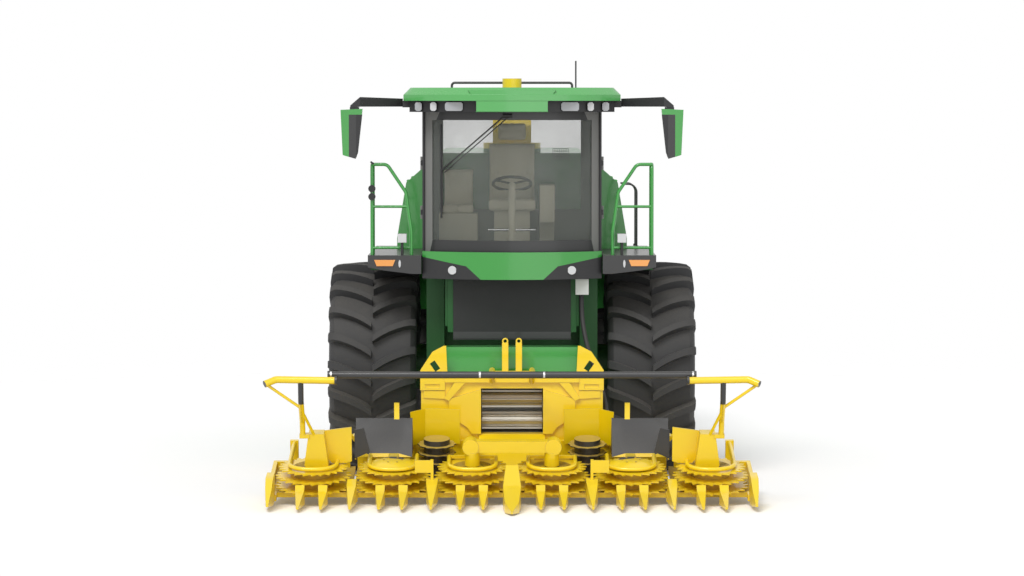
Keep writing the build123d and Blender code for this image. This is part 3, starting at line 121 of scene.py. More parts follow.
def shader_group(name, inputs, outputs):
    """An empty shader group with named sockets, given as (name, kind, value)."""
    group = bpy.data.node_groups.new(name, "ShaderNodeTree")
    kinds = {"value": "NodeSocketFloat", "colour": "NodeSocketColor", "vector": "NodeSocketVector"}
    for label, kind, value in inputs:
        socket = group.interface.new_socket(name=label, in_out="INPUT", socket_type=kinds[kind])
        socket.default_value = value
    for label, kind in outputs:
        group.interface.new_socket(name=label, in_out="OUTPUT", socket_type=kinds[kind])
    return group, group.nodes.new("NodeGroupInput").outputs, group.nodes.new("NodeGroupOutput").inputs


def math_node(tree, operation, first, second=0.5, clamp=False):
    made = add(tree, "ShaderNodeMath", {0: first, 1: second}, operation=operation, use_clamp=clamp)
    return made.outputs[0]


def blend_colours(tree, share, first, second, mode="MIX"):
    made = add(tree, "ShaderNodeMix", {"Factor": share}, data_type="RGBA", blend_type=mode)
    for index, value in ((6, first), (7, second)):
        if isinstance(value, bpy.types.NodeSocket):
            tree.links.new(value, made.inputs[index])
        else:
            made.inputs[index].default_value = value
    return made.outputs[2]


def settled_dust_group():
    """Dust that settles on what faces up, and is splashed low down: it turns a colour and dulls it."""
    group, given, result = shader_group(
        "settled dust",
        [("Colour", "colour", (0.5, 0.5, 0.5, 1)), ("Dust", "colour", dust_colour), ("Amount", "value", 0.3),
         ("Splash height", "value", 0.8), ("Roughness", "value", 0.4)],
        [("Colour", "colour"), ("Roughness", "value")],
    )
    place = add(group, "ShaderNodeTexCoord").outputs["Object"]
    height = add(group, "ShaderNodeSeparateXYZ", {0: place}).outputs[2]
    facing = add(group, "ShaderNodeSeparateXYZ", {0: add(group, "ShaderNodeNewGeometry").outputs["Normal"]})
    lying = math_node(group, "MULTIPLY", facing.outputs[2], 0.9, clamp=True)
    low = add(group, "ShaderNodeMapRange",
              {0: height, 1: given["Splash height"], 2: 0.0, 3: 0.0, 4: 1.0})
    cloud = add(group, "ShaderNodeTexNoise",
                {"Vector": place, "Scale": 5.0, "Detail": 6.0, "Roughness": 0.62})
    speck = add(group, "ShaderNodeTexNoise", {"Vector": place, "Scale": 90.0, "Detail": 3.0})
    patches = math_node(group, "MULTIPLY", cloud.outputs[0], speck.outputs[0])
    reach = math_node(group, "ADD", math_node(group, "MULTIPLY", lying, 0.6),
                      math_node(group, "MULTIPLY", low.outputs[0], 0.8))
    mask = math_node(group, "MULTIPLY", math_node(group, "MULTIPLY", reach, patches),
                     math_node(group, "MULTIPLY", given["Amount"], 4.0), clamp=True)
    group.links.new(blend_colours(group, mask, given["Colour"], given["Dust"]), result["Colour"])
    dulled = add(group, "ShaderNodeMapRange", {0: mask, 1: 0.0, 2: 1.0, 3: given["Roughness"], 4: 0.9})
    group.links.new(dulled.outputs[0], result["Roughness"])
    return group


def worn_edge_group():
    """A mask on corners and edges, broken up so that it looks rubbed and not drawn."""
    group, given, result = shader_group(
        "worn edges", [("Width", "value", 0.004), ("Amount", "value", 0.5)], [("Mask", "value")])
    rounded = add(group, "ShaderNodeBevel", {"Radius": given["Width"]}, samples=4).outputs[0]
    true = add(group, "ShaderNodeNewGeometry").outputs["Normal"]
    same = add(group, "ShaderNodeVectorMath", {0: rounded, 1: true}, operation="DOT_PRODUCT")
    bent = math_node(group, "SUBTRACT", 1.0, same.outputs["Value"])
    place = add(group, "ShaderNodeTexCoord").outputs["Object"]
    scuff = add(group, "ShaderNodeTexNoise",
                {"Vector": place, "Scale": 38.0, "Detail": 5.0, "Roughness": 0.7})
    broken = math_node(group, "MULTIPLY", bent, math_node(group, "POWER", scuff.outputs[0], 2.0))
    strength = math_node(group, "MULTIPLY", given["Amount"], 30.0)
    strong = math_node(group, "MULTIPLY", broken, strength, clamp=True)
    group.links.new(strong, result["Mask"])
    return group


def skin_group():
    """The fine unevenness of a painted, moulded or rolled surface: a normal and a shade."""
    group, given, result = shader_group(
        "surface grain",
        [("Scale", "value", 300.0), ("Depth", "value", 0.1), ("Shade", "value", 0.06),
         ("Rounding", "value", 0.004)],
        [("Normal", "vector"), ("Shade", "value")],
    )
    place = add(group, "ShaderNodeTexCoord").outputs["Object"]
    fine = add(group, "ShaderNodeTexNoise", {"Vector": place, "Scale": given["Scale"], "Detail": 4.0})
    broad = add(group, "ShaderNodeTexNoise", {"Vector": place, "Scale": 2.3, "Detail": 5.0})
    soft = add(group, "ShaderNodeBevel", {"Radius": given["Rounding"]}, samples=3).outputs[0]
    bump = add(group, "ShaderNodeBump",
               {"Strength": given["Depth"], "Distance": 0.002, "Height": fine.outputs[0], "Normal": soft})
    group.links.new(bump.outputs[0], result["Normal"])
    swing = math_node(group, "SUBTRACT", broad.outputs[0], 0.5)
    shade = math_node(group, "ADD", 1.0, math_node(group, "MULTIPLY", swing, given["Shade"]))
    group.links.new(shade, result["Shade"])
    return group


dust = settled_dust_group()
worn = worn_edge_group()
grain = skin_group()


# The width of a rubbed edge in metres, and how rough a clear coat and a pane are
worn_width = 0.004
coat_roughness = 0.08
glass_roughness = 0.03
# How much a pane hides where it is seen edge on
slant_cover = 0.85


def new_material(name):
    """A material with an empty Principled shader, and its tree."""
    made = bpy.data.materials.new(name)
    made.use_nodes = True
    tree = made.node_tree
    shader = tree.nodes["Principled BSDF"]
    return made, tree, shader


def finish_material(name, colour, roughness=0.4, metallic=0.0, coat=0.0, grain_scale=300.0,
                    grain_depth=0.08, shade=0.1, dust_amount=0.1, splash=0.8, wear=0.0,
                    bare=(0.3, 0.3, 0.3, 1)):
    """Paint, plastic or metal: its colour varies a little, dust settles on it and its edges may be bare."""
    made, tree, shader = new_material(name)
    skin = add(tree, "ShaderNodeGroup",
               {"Scale": grain_scale, "Depth": grain_depth, "Shade": shade}, node_tree=grain)
    base = blend_colours(tree, 1.0, colour, skin.outputs["Shade"], "MULTIPLY")
    if wear:
        edge = add(tree, "ShaderNodeGroup", {"Width": worn_width, "Amount": wear}, node_tree=worn)
        base = blend_colours(tree, edge.outputs["Mask"], base, bare)
    settled = add(tree, "ShaderNodeGroup",
                  {"Colour": base, "Amount": dust_amount, "Splash height": splash, "Roughness": roughness},
                  node_tree=dust)
    tree.links.new(settled.outputs["Colour"], shader.inputs["Base Color"])
    tree.links.new(settled.outputs["Roughness"], shader.inputs["Roughness"])
    tree.links.new(skin.outputs["Normal"], shader.inputs["Normal"])
    shader.inputs["Metallic"].default_value = metallic
    shader.inputs["Coat Weight"].default_value = coat
    shader.inputs["Coat Roughness"].default_value = coat_roughness
    return made


def glass_material(name, colour, clear):
    """Tinted glass: clear seen straight on, and a mirror of the room at a slant."""
    made, tree, shader = new_material(name)
    slant = add(tree, "ShaderNodeLayerWeight", {"Blend": 0.35}).outputs["Fresnel"]
    place = add(tree, "ShaderNodeTexCoord").outputs["Object"]
    film = add(tree, "ShaderNodeTexNoise", {"Vector": place, "Scale": 3.0, "Detail": 3.0}).outputs[0]
    haze = add(tree, "ShaderNodeMapRange",
               {0: film, 1: 0.3, 2: 0.7, 3: 1.0 - clear, 4: 1.06 - clear}).outputs[0]
    cover = add(tree, "ShaderNodeMapRange",
                {0: slant, 1: 0.0, 2: 1.0, 3: haze, 4: slant_cover}).outputs[0]
    tree.links.new(cover, shader.inputs["Alpha"])
    shader.inputs["Base Color"].default_value = colour
    shader.inputs["Roughness"].default_value = glass_roughness
    return made


green_paint = finish_material("green paint", green_colour, 0.28, coat=0.6, dust_amount=0.04)
yellow_paint = finish_material("yellow paint", yellow_colour, 0.34, coat=0.4, dust_amount=0.06, splash=0.5,
                               wear=0.25, bare=linear(150, 140, 120))
# A darker copy of the yellow paint: its darker colour is painted shade, and it also has more dust and wear
shaded_yellow = finish_material("yellow paint in painted shade and dust", linear(196, 162, 26), 0.5, dust_amount=0.25,
                                shade=0.5, splash=1.2, wear=0.5, bare=linear(120, 108, 84))
# A lighter copy of the green paint for the roof: painted light
sunlit_green = finish_material("green paint of the roof lightened as painted light", linear(84, 168, 90), 0.26, coat=0.6,
                              dust_amount=0.05)
# A darker copy of the green paint for the chassis: painted shade
shaded_green = finish_material("green paint of the chassis darkened as painted shade", linear(12, 82, 26), 0.5, dust_amount=0.1,
                             splash=1.4)
pillar_grey = finish_material("grey lining", linear(120, 120, 118), 0.6, grain_scale=800)
cab_floor = finish_material("cab floor", linear(96, 94, 88), 0.8, grain_scale=500, grain_depth=0.3)
tan_plastic = finish_material("tan plastic", linear(196, 190, 168), 0.55, grain_scale=900, grain_depth=0.15)
bright_metal = finish_material("bright metal", linear(205, 205, 205), 0.22, metallic=1.0, grain_scale=500)
black_paint = finish_material("black paint", black_colour, 0.38, coat=0.2, dust_amount=0.08)
black_plastic = finish_material("black plastic", linear(34, 34, 36), 0.5, grain_scale=900, grain_depth=0.25)
worn_steel = finish_material("worn steel", linear(176, 172, 162), 0.35, metallic=0.9, grain_scale=120,
                             shade=0.4, dust_amount=0.12)
tyre_rubber = finish_material("tyre rubber", linear(48, 48, 49), 0.72, grain_scale=160, grain_depth=0.35,
                              dust_amount=0.15, splash=1.2)
soft_rubber = finish_material("soft rubber", linear(30, 30, 31), 0.62, grain_scale=700, grain_depth=0.2)
engine_iron = finish_material("engine iron", linear(70, 74, 70), 0.6, metallic=0.4, grain_scale=60,
                              grain_depth=0.4)
grey_box = finish_material("grey box", linear(200, 202, 198), 0.45, grain_scale=600)
seat_cloth = finish_material("seat cloth", linear(205, 198, 176), 0.85, grain_scale=1200, grain_depth=0.4)
lamp_lens = finish_material("lamp lens", linear(196, 197, 200), 0.12, coat=1.0, dust_amount=0.02)
dark_lens = finish_material("dark lamp lens", linear(150, 152, 156), 0.1, coat=1.0, dust_amount=0.02)
amber_lens = finish_material("amber lens", linear(232, 150, 52), 0.15, coat=1.0, dust_amount=0.02)
mirror_glass = finish_material("mirror glass", linear(210, 214, 216), 0.03, metallic=1.0, grain_depth=0.0,
                               shade=0.0)
tinted_glass = glass_material("tinted glass", linear(150, 156, 150), 0.88)
by_slot = {
    "green_paint": green_paint, "yellow_paint": yellow_paint, "black_paint": black_paint,
    "worn_steel": worn_steel, "tyre": tyre_rubber, "black_plastic": black_plastic, "rubber": soft_rubber,
    "tinted_glass": tinted_glass, "seat_cloth": seat_cloth, "lamp": lamp_lens, "engine_iron": engine_iron,
    "grey_box": grey_box,
}


# Where one solid changes its finish. A cut and the rule of its faces share these places.
# The dark corners of the front panel: (out, up) of a point on each border, and the border's slope
panel_top, panel_top_rise = (0.452, 2.171), 0.193
panel_inner, panel_inner_run = (0.308, 2.04), 1.1
# The mirrors: how far out the heads' green and black begin, and the height that their green begins at
mirror_green_out, mirror_black_out, mirror_green_up = 1.6, 1.53, 3.665
# The bar across the curtain, and the height in the header over which the wing's post is black
curtain_bar = (1.44, 1.505)
post_black_up = 0.77


def in_header(place):
    """A point seen in the header's own frame."""
    return header_turn.transposed() @ (place - header_origin)


def from_header(spot):
    """A point of the header's own frame, as it is in the frame of the solids."""
    return header_origin + header_turn @ spot


def soften(mesh, degrees=32):
    """Smooth faces, with a sharp edge where they turn by more than an angle."""
    limit = math.radians(degrees)
    for edge in mesh.edges:
        edge.smooth = len(edge.link_faces) == 2 and edge.calc_face_angle(0) < limit
    for face in mesh.faces:
        face.smooth = True


def made_piece(name, mesh, finishes, body, stands_for=()):
    """A mesh turned into a piece with its finishes, which rides on a body and may stand for nodes."""
    data = bpy.data.meshes.new(name)
    mesh.to_mesh(data)
    mesh.free()
    for finish in finishes:
        data.materials.append(finish)
    made = bpy.data.objects.new(name, data)
    bpy.context.scene.collection.objects.link(made)
    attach(made, body)
    if stands_for:
        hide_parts(*stands_for)
    return made


def rod_mesh(mesh, start, end, radius, sides=20):
    """A round bar added to a mesh between two points."""
    run = Vector(end) - Vector(start)
    turn = Vector((0, 0, 1)).rotation_difference(run.normalized()).to_matrix().to_4x4()
    middle = (Vector(start) + Vector(end)) / 2
    bmesh.ops.create_cone(mesh, cap_ends=True, segments=sides, radius1=radius, radius2=radius,
                          depth=run.length, matrix=Matrix.Translation(middle) @ turn)


def dress(node, finishes, rule, cuts):
    """A copy of a node, cut along planes, whose faces take a finish by a rule of their centre and normal."""
    mesh = bmesh.new()
    mesh.from_mesh(nodes[node].data)
    bmesh.ops.remove_doubles(mesh, verts=mesh.verts, dist=0.00005)
    for point, normal in cuts:
        everything = list(mesh.verts) + list(mesh.edges) + list(mesh.faces)
        bmesh.ops.bisect_plane(mesh, geom=everything, dist=0.00001, plane_co=point, plane_no=normal)
    soften(mesh)
    for face in mesh.faces:
        face.material_index = rule(face.calc_center_median(), face.normal)
    return made_piece(node + "_skin", mesh, finishes, node_body[node], [node])


def roof_rule(place, normal):
    """A lighter green, painted light, over the rim and on the middle of the visor, and black below."""
    rim_up, visor_half, visor_back = 3.8, 0.3505, -1.48
    on_visor = abs(place.x) < visor_half and place.y < visor_back
    return 0 if place.z > rim_up or on_visor else 1


def panel_rule(place, normal):
    """Green, with a dark corner at each side."""
    out = abs(place.x)
    top = panel_top[1] + panel_top_rise * (out - panel_top[0])
    inner = panel_inner[0] + panel_inner_run * (place.z - panel_inner[1])
    return 1 if place.z < top and out > inner else 0


def shell_rule(place, normal):
    """Black frames outside, with a grey lining and a floor of its own inside."""
    floor_up, floor_front = 2.335, -1.6
    lining_half, lining_front, lining_back = 0.86, -1.3, -0.06
    pillar_in, pillar_back, pillar_foot = 0.74, -1.2, 2.36
    if place.z < floor_up and normal.z > 0.9 and place.y > floor_front:
        return 2
    inside = abs(place.x) < lining_half and lining_front < place.y < lining_back
    if abs(place.x) > pillar_in and place.y < pillar_back and place.z > pillar_foot or inside:
        return 1
    return 0


def mirror_rule(place, normal):
    """Heads in green and black with a mirrored face, on black arms."""
    head_in, green_top, black_top = 1.46, 3.7225, 3.7
    out = abs(place.x)
    if normal.y > 0.9 and out > head_in:
        return 3
    if place.z < green_top and (out > mirror_green_out or place.z > mirror_green_up):
        return 1
    return 2 if out > mirror_black_out and place.z < black_top else 0


def lamp_rule(place, normal):
    """By height: the roof's lamps, those over the platforms, and the low ones, amber at the ends."""
    roof_up, platform_up, lens_foot = 3.6, 2.3, 2.39
    bright_in, bright_out = 0.7, 0.83
    fascia_out, amber_in = 0.7, 1.15
    out, front = abs(place.x), normal.y < -0.6
    if place.z > roof_up:
        return (1 if bright_in < out < bright_out else 2) if front else 0
    if place.z > platform_up:
        return 1 if front and place.z > lens_foot else 0
    if out < fascia_out:
        return 1 if front else 4
    return 3 if out > amber_in else 1


def floor_finish(spot, normal):
    """The header's floor and its underside take a darker yellow that is painted shade, with more dust."""
    floor_up, floor_front = -0.1, -0.15
    on_floor = spot.z < floor_up and spot.y > floor_front and normal.z > 0.5
    return 2 if on_floor or normal.z < -0.7 else 0


def deck_rule(place, normal):
    """Black sheets behind the rotors, and a darker yellow of painted shade, with more dust, on the floor and
    underneath.
    """
    sheet_in, sheet_out, sheet_front, sheet_foot = 0.93, 1.495, 0.05, 0.148
    rib_in, rib_out, rib_foot = 1.07, 1.13, 0.43
    spot = in_header(place)
    out = abs(spot.x)
    off_rib = out > rib_out or out < rib_in or spot.z < rib_foot
    if sheet_in < out < sheet_out and spot.y > sheet_front and spot.z > sheet_foot and off_rib:
        return 1
    return floor_finish(spot, normal)


def wing_rule(place, normal):
    """Black on the post and the caps, and a darker yellow of painted shade, with more dust, on the floor and
    underneath.
    """
    post_out, post_half, post_top, post_back = 1.968, 0.04, 0.968, -0.2
    cap_foot, inner_cap_out, outer_cap_in = 0.9, 1.655, 2.29
    spot = in_header(place)
    out = abs(spot.x)
    on_post = abs(out - post_out) < post_half and post_black_up < spot.z < post_top and spot.y < post_back
    faces_out = normal.x * spot.x > 0 and abs(normal.x) > 0.8
    if on_post or spot.z > cap_foot and (out < inner_cap_out or faces_out and out > outer_cap_in):
        return 1
    return floor_finish(spot, normal)


def roof_fitting_rule(place, normal):
    """The beacon's dome is yellow."""
    dome_y, dome_radius, dome_foot = -1.55, 0.1, 3.93
    return 1 if math.hypot(place.x, place.y - dome_y) < dome_radius and place.z > dome_foot else 0


def crop_bar_rule(place, normal):
    """The bar is black, and what carries it is yellow."""
    half, bracket_out = 0.0395, 0.24
    on_bar = abs(place.y - crop_bar_y) < half and abs(place.z - crop_bar_z) < half
    return 1 if on_bar and abs(place.x) > bracket_out else 0


def control_rule(place, normal):
    """The steering wheel is dark, and so is the screen's place on its column."""
    wheel_foot, wheel_half, wheel_front, wheel_back = 2.9, 0.21, -1.4, -0.85
    above = place.z > wheel_foot
    return 1 if above and abs(place.x) < wheel_half and wheel_front < place.y < wheel_back else 0


def curtain_rule(place, normal):
    """Rubber, with a black bar across it."""
    return 1 if curtain_bar[0] < place.z < curtain_bar[1] else 0


def drum_rule(place, normal):
    """Black around, and a darker yellow of painted shade, with more dust, on the flat faces."""
    return 1 if abs(normal.z) < 0.7 else 0


def feeder_rule(place, normal):
    """The inside is worn steel."""
    half, foot, top, mouth_y = 0.3005, 0.57, 1.025, -2.25
    return 1 if abs(place.x) < half and foot < place.z < top and place.y > mouth_y else 0


# The finishes of each solid that has more than one, and the rule that picks a face's among them
dressed = {
    "front_panel": ([green_paint, black_plastic], panel_rule),
    "curtain": ([soft_rubber, black_paint], curtain_rule),
    "cab_roof": ([sunlit_green, black_plastic], roof_rule),
    "cab_shell": ([black_paint, pillar_grey, cab_floor], shell_rule),
    "roof_fittings": ([black_paint, yellow_paint], roof_fitting_rule),
    "mirrors": ([black_plastic, green_paint, black_paint, mirror_glass], mirror_rule),
    "lamps": ([black_plastic, lamp_lens, dark_lens, amber_lens, black_paint], lamp_rule),
    "header_deck": ([yellow_paint, black_paint, shaded_yellow], deck_rule),
    "wing_l": ([yellow_paint, black_paint, shaded_yellow], wing_rule),
    "wing_r": ([yellow_paint, black_paint, shaded_yellow], wing_rule),
    "crop_bar": ([yellow_paint, black_paint], crop_bar_rule),
    "cab_controls": ([tan_plastic, black_plastic], control_rule),
    "feeder_housing": ([green_paint, worn_steel], feeder_rule),
    "cross_drum_l": ([shaded_yellow, black_paint], drum_rule),
    "cross_drum_r": ([shaded_yellow, black_paint], drum_rule),
}
cuts_of = {
    "front_panel": [
        (Vector((side * panel_top[0], 0, panel_top[1])), Vector((-side * panel_top_rise, 0, 1)))
        for side in (-1, 1)
    ] + [
        (Vector((side * panel_inner[0], 0, panel_inner[1])), Vector((side, 0, -panel_inner_run)))
        for side in (-1, 1)
    ],
    "curtain": [(Vector((0, 0, height)), Vector((0, 0, 1))) for height in curtain_bar],
    "mirrors": [
        (Vector((side * out, 0, 0)), Vector((1, 0, 0)))
        for out in (mirror_green_out, mirror_black_out) for side in (-1, 1)
    ] + [(Vector((0, 0, mirror_green_up)), Vector((0, 0, 1)))],
    "wing_l": [(from_header(Vector((0, 0, post_black_up))), header_turn @ Vector((0, 0, 1)))],
}
cuts_of["wing_r"] = cuts_of["wing_l"]


def dress_nodes():
    """Each solid takes the finish of its slot, and a copy stands for those that have more than one."""
    for node, solid in nodes.items():
        solid.data.materials.clear()
        solid.data.materials.append(by_slot[node_slot[node]])
    # The frame, the front axle and the chopper housing take the darker green of painted shade
    for node in ("main_frame", "front_axle", "chopper_housing"):
        nodes[node].data.materials[0] = shaded_green
    for node, (finishes, rule) in dressed.items():
        dress(node, finishes, rule, cuts_of.get(node, ()))


# Tyres: stations across one lug, as shares of the half width and of the radius
lug_stations = (
    # foot across, foot up, top across, top up, width, turn from the middle to the shoulder
    (0.008, 0.905, 0.014, 0.998, 0.82, 0.00),
    (0.10, 0.905, 0.10, 1.000, 1.00, 0.17),
    (0.24, 0.905, 0.24, 0.999, 1.00, 0.37),
    (0.40, 0.903, 0.40, 0.997, 1.00, 0.56),
    (0.56, 0.900, 0.56, 0.993, 1.02, 0.72),
    (0.72, 0.892, 0.72, 0.986, 1.06, 0.86),
    (0.85, 0.87, 0.87, 0.975, 1.12, 0.95),
    (0.90, 0.83, 0.965, 0.945, 1.16, 1.00),
    (0.94, 0.78, 0.990, 0.870, 1.10, 1.02),
    (0.955, 0.72, 0.975, 0.760, 0.90, 1.03),
)
tyre_outline = (
    # share of the half width, share of the radius between the rim and the tread
    (0.72, 0.00), (0.80, 0.03), (0.82, 0.10), (0.90, 0.24), (0.965, 0.40), (0.975, 0.52), (0.955, 0.64),
    (0.92, 0.735), (0.85, 0.80), (0.70, 0.83), (0.45, 0.845), (0.20, 0.85),
)


# How far a lug sweeps around, as a share of a step, and half its width at its foot and its top
lug_sweep = 0.65
lug_foot = 0.66
lug_top = 0.46


def tyre_mesh(centre, radius, half, rim, lugs, width):
    """A round carcass with bent lugs, those of one half between those of the other."""
    mesh = bmesh.new()
    step = math.pi / lugs
    reach = lug_sweep * step
    around = 6 * lugs
    across = [(-share, up) for share, up in tyre_outline]
    across += [(share, up) for share, up in reversed(tyre_outline)]

    def spot(share, size, turn):
        place = Vector((share * half, -size * math.sin(turn), -size * math.cos(turn)))
        return mesh.verts.new(centre + place)

    rings = []
    for index in range(around):
        turn = 2 * math.pi * index / around
        rings.append([spot(share, rim + up * (radius - rim), turn) for share, up in across])
    for index, ring in enumerate(rings):
        after = rings[(index + 1) % around]
        for place in range(len(across) - 1):
            mesh.faces.new((ring[place], after[place], after[place + 1], ring[place + 1]))
        mesh.faces.new((ring[-1], after[-1], after[0], ring[0]))
    for side in (1, -1):
        for number in range(lugs):
            start = 2 * step * (number + (0 if side > 0 else 0.5))
            before = None
            for foot_x, foot_r, top_x, top_r, wide, swing in lug_stations:
                turn = start + reach * (2 * swing - 1)
                foot = lug_foot * width * wide / radius
                top = lug_top * width * wide / radius
                section = [spot(side * foot_x, foot_r * radius, turn - foot),
                           spot(side * top_x, top_r * radius, turn - top),
                           spot(side * top_x, top_r * radius, turn + top),
                           spot(side * foot_x, foot_r * radius, turn + foot)]
                if before:
                    for low in range(3):
                        mesh.faces.new((before[low], before[low + 1], section[low + 1], section[low]))
                else:
                    mesh.faces.new(section)
                before = section
            mesh.faces.new(list(reversed(before)))
    bmesh.ops.recalc_face_normals(mesh, faces=mesh.faces)
    soften(mesh, 34)
    return mesh


tyres = (
    # end, the rim's radius, how many lugs on each side, a lug's width
    ("front", 0.545, 22, 0.074),
    ("rear", 0.37, 15, 0.058),
)


def make_tyres():
    """Tyres with a round carcass and bent lugs, in place of the plain ones."""
    for end, rim, lugs, width in tyres:
        for side in "lr":
            node = f"{end}_tyre_{side}"
            low, high = (Vector(corner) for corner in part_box(node))
            radius, half = (high.z - low.z) / 2, (high.x - low.x) / 2
            mesh = tyre_mesh((low + high) / 2, radius, half, rim, lugs, width)
            made_piece(f"{end}_tread_{side}", mesh, [tyre_rubber], node_body[node], [node])


# Cushions in the cab: the lowest and highest corner of each, whose heights are over the cab's floor, and
# the seams sewn across it, whose places are in the frame of the solids
cab_floor_height = 2.33
cushions = {
    "operator_seat": (
        ((-0.26, -0.94, 0.36), (0.26, -0.41, 0.48), (("x", -0.13), ("x", 0.13), ("y", -0.72))),
        ((-0.26, -0.405, 0.40), (0.26, -0.285, 1.06), (("x", -0.15), ("x", 0.15), ("z", 3.06))),
        ((-0.15, -0.39, 1.0603), (0.15, -0.30, 1.25), (("z", 3.5),)),
    ),
    "passenger_seat": (
        ((-0.72, -0.72, 0.33), (-0.37, -0.4053, 0.42), (("x", -0.545),)),
        ((-0.72, -0.405, 0.33), (-0.37, -0.325, 0.80), (("x", -0.545),)),
    ),
}
pad_voxel = 0.012
pad_swell = 0.02
pad_inset = 0.012
pad_pressure = 4
pad_frames = 20
seam_depth = 0.009
seam_width = 0.011


def pad_blank(low, high):
    """A closed block with round edges, a little smaller than its space, ready to be blown up."""
    mesh = bmesh.new()
    bmesh.ops.create_cube(mesh, size=1)
    size = Vector(high) - Vector(low) - Vector((2, 2, 2)) * pad_inset
    middle = (Vector(high) + Vector(low)) / 2 + Vector((0, 0, cab_floor_height))
    for vertex in mesh.verts:
        vertex.co = middle + Vector(a * b for a, b in zip(vertex.co, size))
    data = bpy.data.meshes.new("pad")
    mesh.to_mesh(data)
    mesh.free()
    holder = bpy.data.objects.new("pad", data)
    bpy.context.scene.collection.objects.link(holder)
    remesh = holder.modifiers.new("remesh", "REMESH")
    remesh.mode = "VOXEL"
    remesh.voxel_size = pad_voxel
    rounded = holder.modifiers.new("round", "SMOOTH")
    rounded.iterations = 5
    bpy.context.view_layer.update()
    seen = holder.evaluated_get(bpy.context.evaluated_depsgraph_get())
    holder.data = bpy.data.meshes.new_from_object(seen)
    holder.modifiers.clear()
    return holder


def blow_up(holders):
    """Every blank swells as cloth under pressure, all in one run of frames."""
    for holder in holders:
        cloth = holder.modifiers.new("cloth", "CLOTH")
        cloth.settings.use_pressure = True
        cloth.settings.uniform_pressure_force = pad_pressure
        cloth.settings.effector_weights.gravity = 0
        cloth.settings.quality = 5
        cloth.point_cache.frame_start = 1
        cloth.point_cache.frame_end = pad_frames
    for number in range(1, pad_frames + 1):
        bpy.context.scene.frame_set(number)
    graph = bpy.context.evaluated_depsgraph_get()
    swollen = [bpy.data.meshes.new_from_object(holder.evaluated_get(graph)) for holder in holders]
    for holder in holders:
        holder.modifiers.clear()
    bpy.context.scene.frame_set(1)
    return swollen


def finish_pad(blank, swollen, low, high, seams):
    """The swollen shape held to its space and to a largest swell, with its seams drawn in."""
    lowest = Vector(low) + Vector((0, 0, cab_floor_height))
    highest = Vector(high) + Vector((0, 0, cab_floor_height))
    middle = (lowest + highest) / 2
    for vertex, start in zip(swollen.vertices, blank.vertices):
        move = vertex.co - start.co
        if move.length > pad_swell:
            move *= pad_swell / move.length
        place = start.co + move
        for axis, value in seams:
            index = "xyz".index(axis)
            thin = min(range(3), key=lambda one: highest[one] - lowest[one])
            fold = seam_depth * math.exp(-((place[index] - value) / seam_width) ** 2)
            place[thin] -= math.copysign(fold, place[thin] - middle[thin])
        vertex.co = [min(max(place[one], lowest[one]), highest[one]) for one in range(3)]


def make_seats():
    """The cab's cushions, blown up as cloth and held inside the space of their solids."""
    made = [(name, low, high, seams, pad_blank(low, high))
            for name, pads in cushions.items() for low, high, seams in pads]
    holders = [entry[-1] for entry in made]
    shapes = blow_up(holders)
    for name in cushions:
        whole = bmesh.new()
        for (owner, low, high, seams, holder), shape in zip(made, shapes):
            if owner == name:
                finish_pad(holder.data, shape, low, high, seams)
                whole.from_mesh(shape)
        for face in whole.faces:
            face.smooth = True
            face.material_index = 0
        piece = made_piece(name + "_pads", whole, [seat_cloth], "machine", ["seats"])
    for holder in holders:
        bpy.data.objects.remove(holder)


# Rotors: each disc's lowest height and radius, and the points of one tooth as shares of its step and depth
rotor_discs = ((0.084, 0.33), (0.0, 0.36), (-0.096, 0.365))
tooth_points = ((0.0, 0.0), (0.10, 0.45), (0.24, 1.0), (0.42, 0.93), (0.66, 0.62), (0.87, 0.22))
disc_thick = 0.012
disc_teeth = 24
tooth_depth = 0.055
# The hub between the discs and the stub shaft under it: radius, lowest and highest height, sides
rotor_rods = ((0.185, -0.096, 0.096, 48), (0.055, -0.1175, -0.095, 32))


def toothed_disc(mesh, centre, radius, low, sign):
    """A plate with hooked teeth around its rim, in the header's own frame."""
    outline = []
    for number in range(disc_teeth):
        for turn, depth in tooth_points:
            angle = sign * 2 * math.pi * (number + turn) / disc_teeth
            reach = radius - tooth_depth * depth
            outline.append(centre + Vector((reach * math.cos(angle), reach * math.sin(angle), low)))
    raised = [place + Vector((0, 0, disc_thick)) for place in outline]
    rings = [[mesh.verts.new(from_header(place)) for place in ring] for ring in (outline, raised)]
    for index in range(len(outline)):
        after = (index + 1) % len(outline)
        mesh.faces.new((rings[0][index], rings[0][after], rings[1][after], rings[1][index]))
    for ring in rings:
        mesh.faces.new(ring)


def make_rotors():
    """Rotors with sharp teeth, in place of the plain ones."""
    for side, sign in (("l", 1), ("r", -1)):
        for number in (1, 2, 3):
            mesh = bmesh.new()
            centre = Vector((sign * (number - 0.5) * rotor_pitch, 0, 0))
            for low, radius in rotor_discs:
                toothed_disc(mesh, centre, radius, low, sign)
            bmesh.ops.recalc_face_normals(mesh, faces=mesh.faces)
            count = len(mesh.faces)
            for radius, low, high, sides in rotor_rods:
                foot, top = (from_header(centre + Vector((0, 0, height))) for height in (low, high))
                rod_mesh(mesh, foot, top, radius, sides)
            soften(mesh)
            mesh.faces.ensure_lookup_table()
            # The hub and the stub shaft take the darker yellow of painted shade
            for face in mesh.faces[count:]:
                face.material_index = 1
            node = f"rotor_{side}{number}"
            made_piece(node + "_skin", mesh, [yellow_paint, shaded_yellow], node_body[node],
                       [node])


